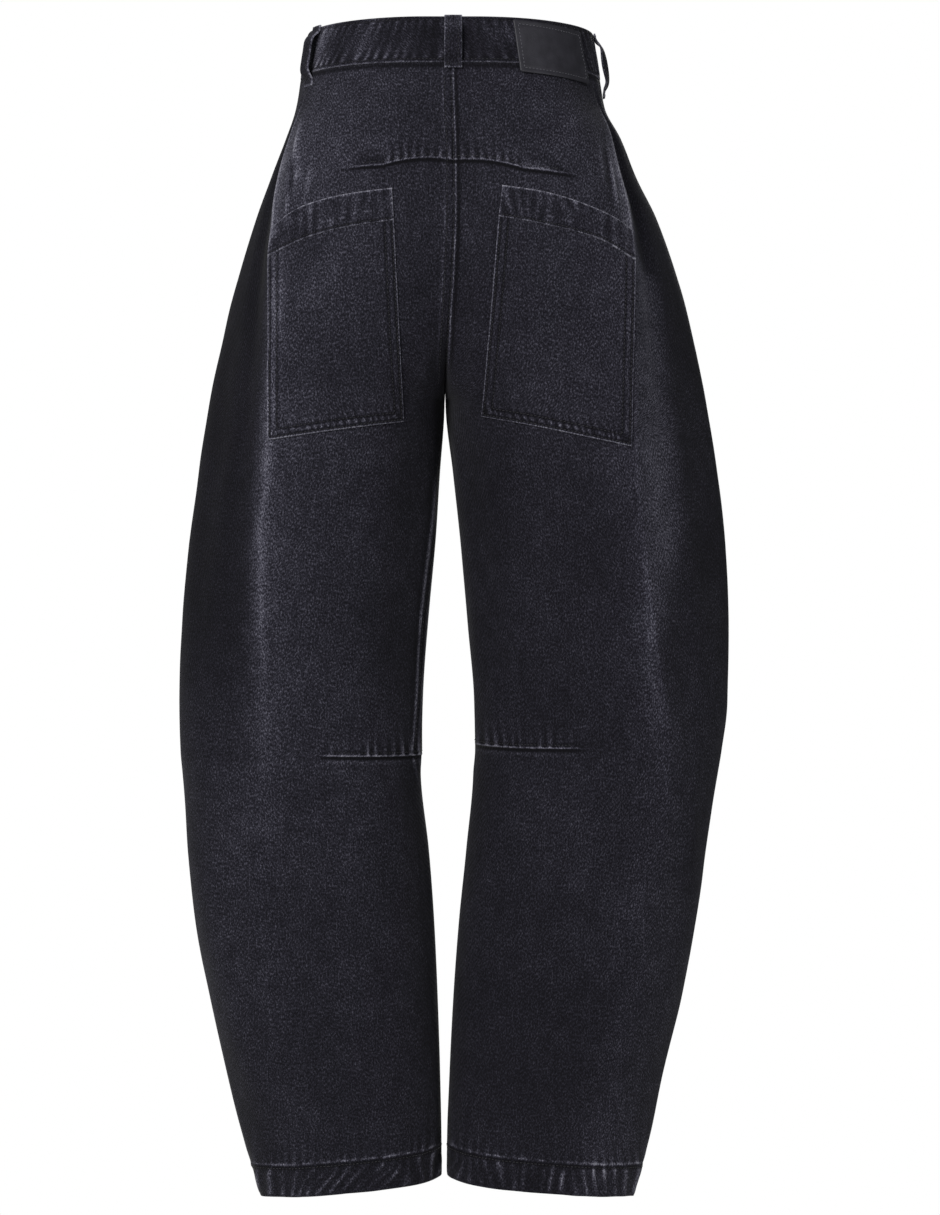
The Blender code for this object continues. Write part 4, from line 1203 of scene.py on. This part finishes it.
def loop_path(clear, bottom):
    """The strap's middle line as (off, z) corners, from its upper foot over its clear span to its lower."""
    foot = BAND_PROUD + LAY_GAP + LOOP_THICK / 2
    mid = BAND_PROUD + clear + LOOP_THICK / 2
    rise = foot + (mid - foot) * 0.75
    top_end, low_end = LOOP_TOP - LOOP_FOOT, bottom + LOOP_FOOT
    return np.array((
        (foot, LOOP_TOP),
        (foot, top_end),
        (rise, top_end - LOOP_RISE / 2),
        (mid, top_end - LOOP_RISE),
        (mid, (top_end + low_end) / 2),
        (mid, low_end + LOOP_RISE),
        (rise, low_end + LOOP_RISE / 2),
        (foot, low_end),
        (foot, bottom),
    ))


def loop_point(frame_of, line, across, lift, twist=0.0):
    """Points on a loop's strap: line holds (off, z), across runs over its width and lift goes off its face.
    The twist turns the strap's middle, in degrees."""
    origin, out, tangent, up = frame_of
    way = np.gradient(line, axis=0)
    way /= np.linalg.norm(way, axis=1, keepdims=True)
    centre = origin + line[:, :1] * out + ((line[:, 1:] + BAND_HEIGHT / 2) / up[2]) * up
    normal = -out * way[:, 1:] + up * way[:, :1]
    turn = math.radians(twist) * np.sin(np.linspace(0, math.pi, len(line)))[:, None] ** 2
    over = tangent * np.cos(turn) + normal * np.sin(turn)
    normal = normal * np.cos(turn) - tangent * np.sin(turn)
    points = centre[:, None] + over[:, None] * across[None, :, None] + normal[:, None] * lift[..., None]
    return points, np.broadcast_to(normal[:, None], points.shape)


def make_loop(name, share, clear, bottom, material):
    """A belt loop: a strap with turned edges whose feet lie flat and whose middle stands clear."""
    line = smoothed(loop_path(clear, bottom), LOOP_CELLS)
    across = edge_steps(LOOP_WIDTH, 10, (0.0, 0.3, 0.8, 1.5)) * LOOP_WIDTH - LOOP_WIDTH / 2
    rim = LOOP_WIDTH / 2 - np.abs(across)
    shape = rounded(rim, LOOP_THICK, 1.3) - 0.25 * bump_at(rim - LOOP_ROW, 0.8)
    lift = np.broadcast_to(shape - LOOP_THICK / 2, (len(line), len(across)))
    uneven = 0.18 * patches(line[:, 1:] / 7.0, across[None, :] / 5.0, 77)
    frame_of = loop_frame(share)
    twist = LOOP_TWIST.get(name, 0.0)
    outer, _ = loop_point(frame_of, line, across, lift + uneven, twist)
    inner, _ = loop_point(frame_of, line, across, np.full(lift.shape, -LOOP_THICK / 2), twist)
    from_top = np.arange(len(line))[:, None]
    from_end = np.minimum(from_top, from_top[::-1])
    worn_and_shaded = 0.95 * bump_at(rim, 0.9)[None, :] + 0.8 * bump_at(from_end, 1.2)
    worn_and_shaded = worn_and_shaded + 0.25 * patches(line[:, 1:] / 9.0, across / 9.0, 78)
    loop = make_sheet(name + "_cloth", outer, inner, worn_and_shaded, material, 0.3)
    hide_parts(name)


def make_button(material):
    """The domed metal button, turned from a profile, with a raised rim."""
    origin, out, tangent = ring_frame(BUTTON_Z, place_at(waist_length() / 2 - BUTTON_X))
    up = np.cross(tangent, out)
    base = origin + out * (BAND_PROUD + LAY_GAP)
    turns = np.linspace(0, 2 * math.pi, BUTTON_SIDES, endpoint=False)
    profile = np.array(BUTTON_PROFILE)
    round_about = tangent * np.cos(turns)[:, None] + up * np.sin(turns)[:, None]
    points = base + out * profile[:, None, 1:] + round_about[None] * profile[:, None, :1]
    count = len(profile)
    corners = (points.reshape(-1, 3) * MM).tolist()
    faces = []
    for ring in range(count - 1):
        for i in range(BUTTON_SIDES):
            a, b = ring * BUTTON_SIDES + i, ring * BUTTON_SIDES + (i + 1) % BUTTON_SIDES
            faces.append((a, b, b + BUTTON_SIDES, a + BUTTON_SIDES))
    faces.append(tuple(range(BUTTON_SIDES)))
    faces.append(tuple(range((count - 1) * BUTTON_SIDES, count * BUTTON_SIDES)))
    mesh = bpy.data.meshes.new("button_turned")
    mesh.from_pydata(corners, [], faces)
    button = finish_piece("button_turned", mesh, material)
    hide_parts("button")


def stitches_along(points, normals):
    """Stitches of thread along a line of points: corners and faces, in millimetres."""
    run = run_along(points)
    count = int(run[-1] / STITCH_PITCH)
    if count < 1:
        return np.zeros((0, 3)), np.zeros((0, 3), int)
    starts = (np.arange(count) + 0.5) * run[-1] / count - STITCH_LONG / 2

    def at(length, values):
        return np.stack([np.interp(length, run, values[:, i]) for i in range(3)], axis=-1)

    first, last = at(starts, points), at(starts + STITCH_LONG, points)
    normal = at(starts + STITCH_LONG / 2, normals)
    way = last - first
    way /= np.maximum(np.linalg.norm(way, axis=1, keepdims=True), 1e-6)
    side = np.cross(normal, way)
    corners = [first - normal * STITCH_THICK * 0.5]
    for share in (0.25, 0.75):
        centre = first + (last - first) * share + normal * STITCH_THICK * 0.15
        for k in range(STITCH_SIDES):
            turn = 2 * math.pi * k / STITCH_SIDES
            corners.append(centre + (side * math.cos(turn) + normal * math.sin(turn)) * STITCH_THICK / 2)
    corners.append(last - normal * STITCH_THICK * 0.5)
    corners = np.stack(corners, axis=1)
    faces = []
    end = 1 + 2 * STITCH_SIDES
    for k in range(STITCH_SIDES):
        a, b = 1 + k, 1 + (k + 1) % STITCH_SIDES
        faces += [(0, b, a), (a, b, b + STITCH_SIDES), (a, b + STITCH_SIDES, a + STITCH_SIDES)]
        faces.append((a + STITCH_SIDES, b + STITCH_SIDES, end))
    faces = np.array(faces)
    steps = (np.arange(count) * corners.shape[1])[:, None, None]
    return corners.reshape(-1, 3), (faces[None] + steps).reshape(-1, 3)


def make_threads(name, lines, material):
    """One piece of all the stitches along several lines of (points, normals)."""
    corners, faces, start = [], [], 0
    for points, normals in lines:
        new_corners, new_faces = stitches_along(points, normals)
        corners.append(new_corners)
        faces.append(new_faces + start)
        start += len(new_corners)
    mesh = bpy.data.meshes.new(name)
    mesh.from_pydata((np.concatenate(corners) * MM).tolist(), [], np.concatenate(faces).tolist())
    threads = finish_piece(name, mesh, material)


def cloth_line(z, s, side, half, lift=0.1):
    points, normals, _ = cloth(z, s, side, half, lift)
    return points, normals


def middle_seam_lines():
    """The rows down the middle seams, each part of a row on the panel that it lies on."""
    lines = []
    for half, start in ((BACK, BAND_SEAM_ROW), (FRONT, FLY_BOTTOM)):
        z = np.linspace(start, CROTCH + 12.0, 120)
        middle = read_section(z)["middle"]
        for inset in (EDGE_ROW, FELL_WIDTH - EDGE_ROW):
            x = middle + FELL_SHIFT - inset
            side_of = np.where(x <= middle, LEFT, RIGHT)
            for side in (LEFT, RIGHT):
                keep = side_of == side
                if keep.sum() > FEWEST_POINTS:
                    s = place_of(x[keep], z[keep], side, half)
                    lines.append(cloth_line(z[keep], s, side, half))
    return lines


def inseam_lines():
    """The rows down the left inseam, where it shows on the back."""
    lines = []
    z = np.linspace(-376.0, -640.0, 160)
    for inset in (EDGE_ROW - INSEAM_SHIFT, FELL_WIDTH - EDGE_ROW - INSEAM_SHIFT):
        s = place_of(inseam_x(z) + inset, z, LEFT, BACK)
        keep = s > 0.12
        if keep.sum() > FEWEST_POINTS:
            lines.append(cloth_line(z[keep], s[keep], LEFT, BACK))
    return lines


def panel_lines():
    """The stitched rows on the panels: middle seams, inseam, outseams, darts and hems."""
    lines = middle_seam_lines() + inseam_lines()
    for side in (LEFT, RIGHT):
        z = np.linspace(PANEL_TOP - 8, HEM_BOTTOM[1] + HEM_DEPTH + 4, 300)
        for inset in (2.5, 8.5):
            s = np.full(z.shape, OUTSEAM - inset / PLACE_SPAN)
            lines.append(cloth_line(z, s, side, BACK))
        for line, tip in DARTS:
            s = np.linspace(0.0, tip[side] - 0.1, 80)
            lines.append(cloth_line(dart_line(line, tip, side, s) + 3.4, s, side, BACK))
        for half in (BACK, FRONT):
            s = np.linspace(0.0, outer_end(half), 160)
            lines.append(cloth_line(hem_height(s) + HEM_DEPTH - 2.4, s, side, half))
    return lines


def pocket_lines():
    """Two rows down each side and along the bottom of each pocket, and one along its band."""
    lines = []
    for side in (LEFT, RIGHT):
        seam, low, top = POCKET_SEAM[side], POCKET_BOTTOM[side], POCKET_TOP[side]
        for inset in (EDGE_ROW, SECOND_ROW):
            a, b = inset / POCKET_ROW_SPAN, inset / POCKET_TALL
            down = np.linspace(0.02, 1 - b, 90)
            runs = (
                (np.full(90, a), down),
                (np.full(90, 1 - a), down),
                (np.linspace(a, 1 - a, 90), np.full(90, 1 - b)),
            )
            for across, down in runs:
                lines.append(laid_line(seam, low, across, down, side, POCKET_CLOTH + 0.35))
        across = np.linspace(0.02, 0.98, 90)
        down = np.full(90, 1 - EDGE_ROW / POCKET_BAND_TALL)
        lines.append(laid_line(top, seam, across, down, side, POCKET_BAND_CLOTH))
    return lines


def laid_line(top, low, across, down, side, high):
    """A line on a laid pocket piece, at shares across and down between its two edge lines."""
    each = np.arange(len(across))
    flat = corner_grid(top, low, across, down)[each, each]
    s = place_of(flat[:, 0], flat[:, 1], side, BACK)
    return cloth_line(flat[:, 1], s, side, BACK, LAY_GAP + high)


def fly_lines():
    """The two rows that follow the fly's curved edge."""
    lines = []
    for inset in (EDGE_ROW, SECOND_ROW):
        z = np.linspace(PANEL_TOP - 3.0, FLY_BOTTOM + inset, 140)
        x = -FLY_WIDTH + inset + (FLY_ROUND - inset) * fly_turn(z)
        s = place_of(x, z, LEFT, FRONT)
        lines.append(cloth_line(z, s, LEFT, FRONT, LAY_GAP + FLY_CLOTH - 0.1))
    return lines


def band_lines():
    """The rows along the waistband's edges, down the loops and across their feet."""
    lines = []
    half_way = waist_length() / 2
    length = np.linspace(half_way + UNDERLAP - 4, -half_way - OVERLAP + 3, 700)
    for z in (-BAND_ROW, -BAND_HEIGHT + BAND_ROW):
        point, normal, _ = band_point(length, np.full(length.shape, z), 0.05)
        lines.append((point, normal))
    for name, share, clear, bottom in LOOPS:
        line = smoothed(loop_path(clear, bottom), LOOP_CELLS)
        frame_of = loop_frame(share)
        lift = np.full((len(line), 1), LOOP_THICK / 2 - 0.2)
        for across in (-LOOP_WIDTH / 2 + LOOP_ROW, LOOP_WIDTH / 2 - LOOP_ROW):
            twist = LOOP_TWIST.get(name, 0.0)
            points, normals = loop_point(frame_of, line, np.array([across]), lift, twist)
            lines.append((points[:, 0], normals[:, 0]))
        across = np.linspace(-LOOP_WIDTH / 2 + 1, LOOP_WIDTH / 2 - 1, 30)
        points, normals = loop_point(frame_of, line, across, np.full((len(line), 30), LOOP_THICK / 2))
        for row in (2, len(line) - 5):
            lines.append((points[row], normals[row]))
    return lines


def patch_lines():
    """The row round the patch, a side at a time."""
    u0, u1 = PATCH_ROW, PATCH_LENGTH - PATCH_ROW
    v0, v1 = PATCH_ROW, PATCH_HEIGHT - PATCH_ROW
    runs = (((u0, v0), (u1, v0)), ((u1, v0), (u1, v1)), ((u1, v1), (u0, v1)), ((u0, v1), (u0, v0)))
    lines = []
    for (ua, va), (ub, vb) in runs:
        u, v = np.linspace(ua, ub, 60), np.linspace(va, vb, 60)
        lines.append(patch_point(u, v, np.full(60, PATCH_THICK - 0.15)))
    return lines


def linear(hex_colour):
    """An sRGB hex colour as linear values."""
    values = [int(hex_colour[i:i + 2], 16) / 255 for i in (0, 2, 4)]
    return tuple(v / 12.92 if v <= 0.04045 else ((v + 0.055) / 1.055) ** 2.4 for v in values) + (1.0,)


def per_metre(size):
    """The scale that gives a noise or cell pattern its size in millimetres."""
    return 1.0 / (size * MM)


def add_node(tree, kind, settings=None, inputs=None):
    """Adds a node with its settings. Each input gets a link from another node's output, or a plain value."""
    node = tree.nodes.new(kind)
    for name, value in (settings or {}).items():
        setattr(node, name, value)
    for name, value in (inputs or {}).items():
        if isinstance(value, bpy.types.NodeSocket):
            tree.links.new(value, node.inputs[name])
        else:
            node.inputs[name].default_value = value
    return node


def new_material(name, inputs):
    """A material with a Principled shader and its plain values."""
    material = bpy.data.materials.new(name)
    material.use_nodes = True
    shader = material.node_tree.nodes["Principled BSDF"]
    for key, value in inputs.items():
        shader.inputs[key].default_value = value
    return material, material.node_tree, shader


def washed_twill(name, shade):
    """Faded black cotton twill. Warp streaks, a coarse salt-and-pepper grain and a cloudy wash give the
    faded, dusty look. The wear_and_shade attribute makes ridges and folded edges paler, faded and partly a
    painted highlight, and paints shade darker in the grooves and valleys and on the parts turned from the
    light."""
    material, tree, shader = new_material(name, {
        "Roughness": 0.9,
        "IOR": 1.5,
        "Specular IOR Level": 0.15,
        "Sheen Weight": 0.06,
        "Sheen Roughness": 0.45,
    })
    cloth_place = add_node(tree, "ShaderNodeUVMap", {"uv_map": "cloth"}).outputs["UV"]
    body_place = add_node(tree, "ShaderNodeTexCoord").outputs["Object"]
    # The real diagonal, 0.6 mm apart, is finer than the photograph shows, so it is drawn 2.6 mm apart. A wave
    # node has 20 radians to a metre at scale 1.
    slant = {"Vector": cloth_place, "Rotation": (0.0, 0.0, math.radians(TWILL_SLANT))}
    twill = add_node(tree, "ShaderNodeTexWave", {}, {
        "Vector": add_node(tree, "ShaderNodeMapping", {}, slant).outputs["Vector"],
        "Scale": per_metre(TWILL_SPACING) * 2 * math.pi / 20,
        "Distortion": 2.2,
        "Detail": 1.0,
        "Detail Scale": 2.0,
    }).outputs["Color"]
    # Each noise: where it is read, its shares of the length and width, its size, its detail and roughness,
    # the values that are used of it, and the tones that they give
    noises = (
        (cloth_place, (1.0, 0.6, 1.0), GRAIN_SIZE, 2.0, 0.7, (0.36, 0.66), (-0.46, 0.8)),
        (cloth_place, (1.0, 0.13, 1.0), STREAK_SIZE, 3.0, 0.6, (0.3, 0.7), (-0.1, 0.12)),
        (body_place, (1.0, 1.0, 1.0), CLOUD_SIZE, 3.0, 0.55, (0.3, 0.7), (-0.14, 0.16)),
        (body_place, (1.0, 1.0, 1.0), MOTTLE_SIZE, 3.0, 0.6, (0.3, 0.7), (-0.08, 0.09)),
    )
    patterns = []
    for place, drawn, size, detail, rough, values, tones in noises:
        vector = add_node(tree, "ShaderNodeMapping", {}, {"Vector": place, "Scale": drawn}).outputs["Vector"]
        noise = {"Vector": vector, "Scale": per_metre(size), "Detail": detail, "Roughness": rough}
        patterns.append((add_node(tree, "ShaderNodeTexNoise", {}, noise).outputs["Fac"], values, tones))
    grain = patterns[0][0]
    patterns.append((twill, (0.0, 1.0), (-0.03, 0.05)))
    tone = shade
    for source, (low, high), (darker, paler) in patterns:
        spread = {"Value": source, "From Min": low, "From Max": high, "To Min": darker, "To Max": paler}
        part = add_node(tree, "ShaderNodeMapRange", {}, spread).outputs["Result"]
        tone = add_node(tree, "ShaderNodeMath", {"operation": "ADD"}, {0: tone, 1: part}).outputs[0]
    wear_and_shade = add_node(tree, "ShaderNodeAttribute", {"attribute_name": "wear_and_shade"}).outputs["Fac"]
    worn_and_shaded = {0: wear_and_shade, 1: 0.95, 2: tone}
    tone = add_node(tree, "ShaderNodeMath", {"operation": "MULTIPLY_ADD"}, worn_and_shaded).outputs[0]
    colour = linear(DENIM_BLACK)
    for low, high, next_colour in DENIM_FADE:
        spread = {"Value": tone, "From Min": low, "From Max": high}
        share = add_node(tree, "ShaderNodeMapRange", {}, spread).outputs["Result"]
        blend = {0: share, MIX_LOW: colour, MIX_HIGH: linear(next_colour)}
        colour = add_node(tree, "ShaderNodeMix", {"data_type": "RGBA"}, blend).outputs[MIX_RESULT]
    tree.links.new(colour, shader.inputs["Base Color"])
    raised = add_node(tree, "ShaderNodeMath", {"operation": "ADD"}, {0: grain, 1: twill}).outputs[0]
    bump = add_node(tree, "ShaderNodeBump", {}, {"Strength": 0.35, "Distance": 0.0006, "Height": raised})
    tree.links.new(bump.outputs["Normal"], shader.inputs["Normal"])
    return material


def pressed_leather():
    """Smooth dark dyed leather: a fine pebbled grain breaks up a soft, low shine."""
    shine = {"Roughness": 0.5, "IOR": 1.5, "Specular IOR Level": 0.4}
    material, tree, shader = new_material("patch_dyed_leather", shine)
    place = add_node(tree, "ShaderNodeUVMap", {"uv_map": "cloth"}).outputs["UV"]
    pebbles = {"Vector": place, "Scale": per_metre(PEBBLE_SIZE)}
    grain = add_node(tree, "ShaderNodeTexVoronoi", {}, pebbles).outputs["Distance"]
    dye = {"Vector": place, "Scale": per_metre(DYE_CLOUD_SIZE), "Detail": 3.0}
    cloud = add_node(tree, "ShaderNodeTexNoise", {}, dye).outputs["Fac"]
    spread = {"Value": cloud, "From Min": 0.3, "From Max": 0.7, "To Min": 0.1, "To Max": 0.8}
    amount = add_node(tree, "ShaderNodeMapRange", {}, spread).outputs["Result"]
    blend = {0: amount, MIX_LOW: linear(LEATHER_DARK), MIX_HIGH: linear(LEATHER_PALE)}
    colour = add_node(tree, "ShaderNodeMix", {"data_type": "RGBA"}, blend).outputs[MIX_RESULT]
    tree.links.new(colour, shader.inputs["Base Color"])
    bump = add_node(tree, "ShaderNodeBump", {}, {"Strength": 0.25, "Distance": 0.0003, "Height": grain})
    tree.links.new(bump.outputs["Normal"], shader.inputs["Normal"])
    return material


def spun_thread(name, colour):
    """Spun thread with a polyester core, smoother than the cloth. It is black on the cloth, where its rows
    read as dark grooves, and grey on the patch, where each stitch shows as a dot."""
    surface = {"Base Color": linear(colour), "Roughness": 0.6, "IOR": 1.5, "Sheen Weight": 0.1}
    material, tree, shader = new_material(name, surface)
    place = add_node(tree, "ShaderNodeTexCoord").outputs["Object"]
    plies = {"Vector": place, "Scale": per_metre(THREAD_TWIST_SIZE)}
    twist = add_node(tree, "ShaderNodeTexNoise", {}, plies).outputs["Fac"]
    bump = add_node(tree, "ShaderNodeBump", {}, {"Strength": 0.3, "Distance": 0.0002, "Height": twist})
    tree.links.new(bump.outputs["Normal"], shader.inputs["Normal"])
    return material


def dark_nickel():
    """Stamped steel with a dark nickel finish, satin from tumbling."""
    surface = {"Base Color": linear(METAL_DARK), "Roughness": 0.32, "Metallic": 1.0}
    material, tree, shader = new_material("dark_nickel", surface)
    place = add_node(tree, "ShaderNodeTexCoord").outputs["Object"]
    tumbled = {"Vector": place, "Scale": per_metre(TUMBLE_SIZE), "Detail": 3.0}
    rub = add_node(tree, "ShaderNodeTexNoise", {}, tumbled).outputs["Fac"]
    spread = {"Value": rub, "From Min": 0.3, "From Max": 0.7, "To Min": 0.26, "To Max": 0.42}
    satin = add_node(tree, "ShaderNodeMapRange", {}, spread).outputs["Result"]
    tree.links.new(satin, shader.inputs["Roughness"])
    return material


def area_light(name, place, aim, size, power):
    """A softbox at a place in metres, turned towards its aim."""
    light = bpy.data.lights.new(name, "AREA")
    light.shape = "RECTANGLE"
    light.size, light.size_y = size
    light.energy = power
    lamp = bpy.data.objects.new(name, light)
    bpy.context.scene.collection.objects.link(lamp)
    lamp.location = place
    way = np.array(aim) - np.array(place)
    pitch = math.atan2(math.hypot(way[0], way[1]), -way[2])
    turn = math.atan2(way[1], way[0]) - math.pi / 2
    lamp.rotation_euler = (pitch, 0.0, turn)


def matt_floor():
    """Matt painted board: plain and pale, with no shine."""
    return new_material("matt_painted_floor", {"Base Color": linear(FLOOR_COLOUR), "Roughness": 0.85})[0]


def make_floor():
    """A plain pale floor. Its far edge stops short of the camera's frame, which is plain white all round."""
    corners = [(x, y, FLOOR_Z) for x, y in zip(FLOOR_ACROSS + FLOOR_ACROSS[::-1], np.repeat(FLOOR_ALONG, 2))]
    mesh = bpy.data.meshes.new("floor")
    mesh.from_pydata(corners, [], [(0, 1, 2, 3)])
    mesh.materials.append(matt_floor())
    floor = bpy.data.objects.new("floor", mesh)
    bpy.context.scene.collection.objects.link(floor)


def make_stage():
    """A white world that the camera sees, dimmer as light, with a soft key from the upper left, a weaker fill
    and a light on the front."""
    scene = bpy.context.scene
    scene.view_settings.view_transform = "Standard"
    world = bpy.data.worlds.new("studio_white")
    scene.world = world
    world.use_nodes = True
    tree = world.node_tree
    tree.nodes.clear()
    seen = add_node(tree, "ShaderNodeBackground", {}, {"Color": linear("ffffff"), "Strength": 1.0})
    lit = add_node(tree, "ShaderNodeBackground", {}, {"Color": linear(AMBIENT_COLOUR), "Strength": AMBIENT})
    ray = add_node(tree, "ShaderNodeLightPath").outputs["Is Camera Ray"]
    mixed = add_node(tree, "ShaderNodeMixShader", {}, {0: ray, 1: lit.outputs[0], 2: seen.outputs[0]})
    add_node(tree, "ShaderNodeOutputWorld", {}, {"Surface": mixed.outputs[0]})
    area_light("key_softbox", (-1.3, -2.6, 0.75), (0.0, 0.0, -0.45), (1.1, 1.5), KEY_POWER)
    area_light("fill_softbox", (2.2, -2.0, -0.1), (0.05, 0.0, -0.5), (1.0, 1.6), FILL_POWER)
    area_light("back_softbox", (0.4, 2.8, 0.6), (0.0, 0.0, -0.5), (1.4, 1.6), BACK_POWER)


def make_camera():
    """The photograph's camera: level, straight behind and 3 m away."""
    camera = bpy.data.cameras.new("camera")
    camera.lens = LENS
    camera.sensor_width = 36.0
    viewer = bpy.data.objects.new("camera", camera)
    bpy.context.scene.collection.objects.link(viewer)
    viewer.location = (CAMERA_X * MM, -CAMERA_AWAY * MM, CAMERA_Z * MM)
    viewer.rotation_euler = (math.pi / 2, 0.0, 0.0)
    bpy.context.scene.camera = viewer


def main():
    denim = washed_twill("washed_twill", 0.0)
    pocket_denim = washed_twill("pocket_twill", 0.02)
    band_denim = washed_twill("waistband_twill", -0.05)
    thread = spun_thread("spun_thread", THREAD)
    for half in (BACK, FRONT):
        for side in (LEFT, RIGHT):
            make_panel(side, half, denim)
    for side in (LEFT, RIGHT):
        make_pocket(side, pocket_denim)
        make_pocket_band(side, pocket_denim)
    make_fly(denim)
    make_waistband(band_denim)
    make_patch(pressed_leather())
    for name, share, clear, bottom in LOOPS:
        make_loop(name, share, clear, bottom, band_denim)
    make_button(dark_nickel())
    make_threads("panel_stitches", panel_lines() + fly_lines(), thread)
    make_threads("pocket_stitches", pocket_lines(), thread)
    make_threads("waistband_stitches", band_lines(), thread)
    make_threads("patch_stitches", patch_lines(), spun_thread("patch_thread", PATCH_THREAD))
    make_stage()
    make_floor()
    make_camera()


main()
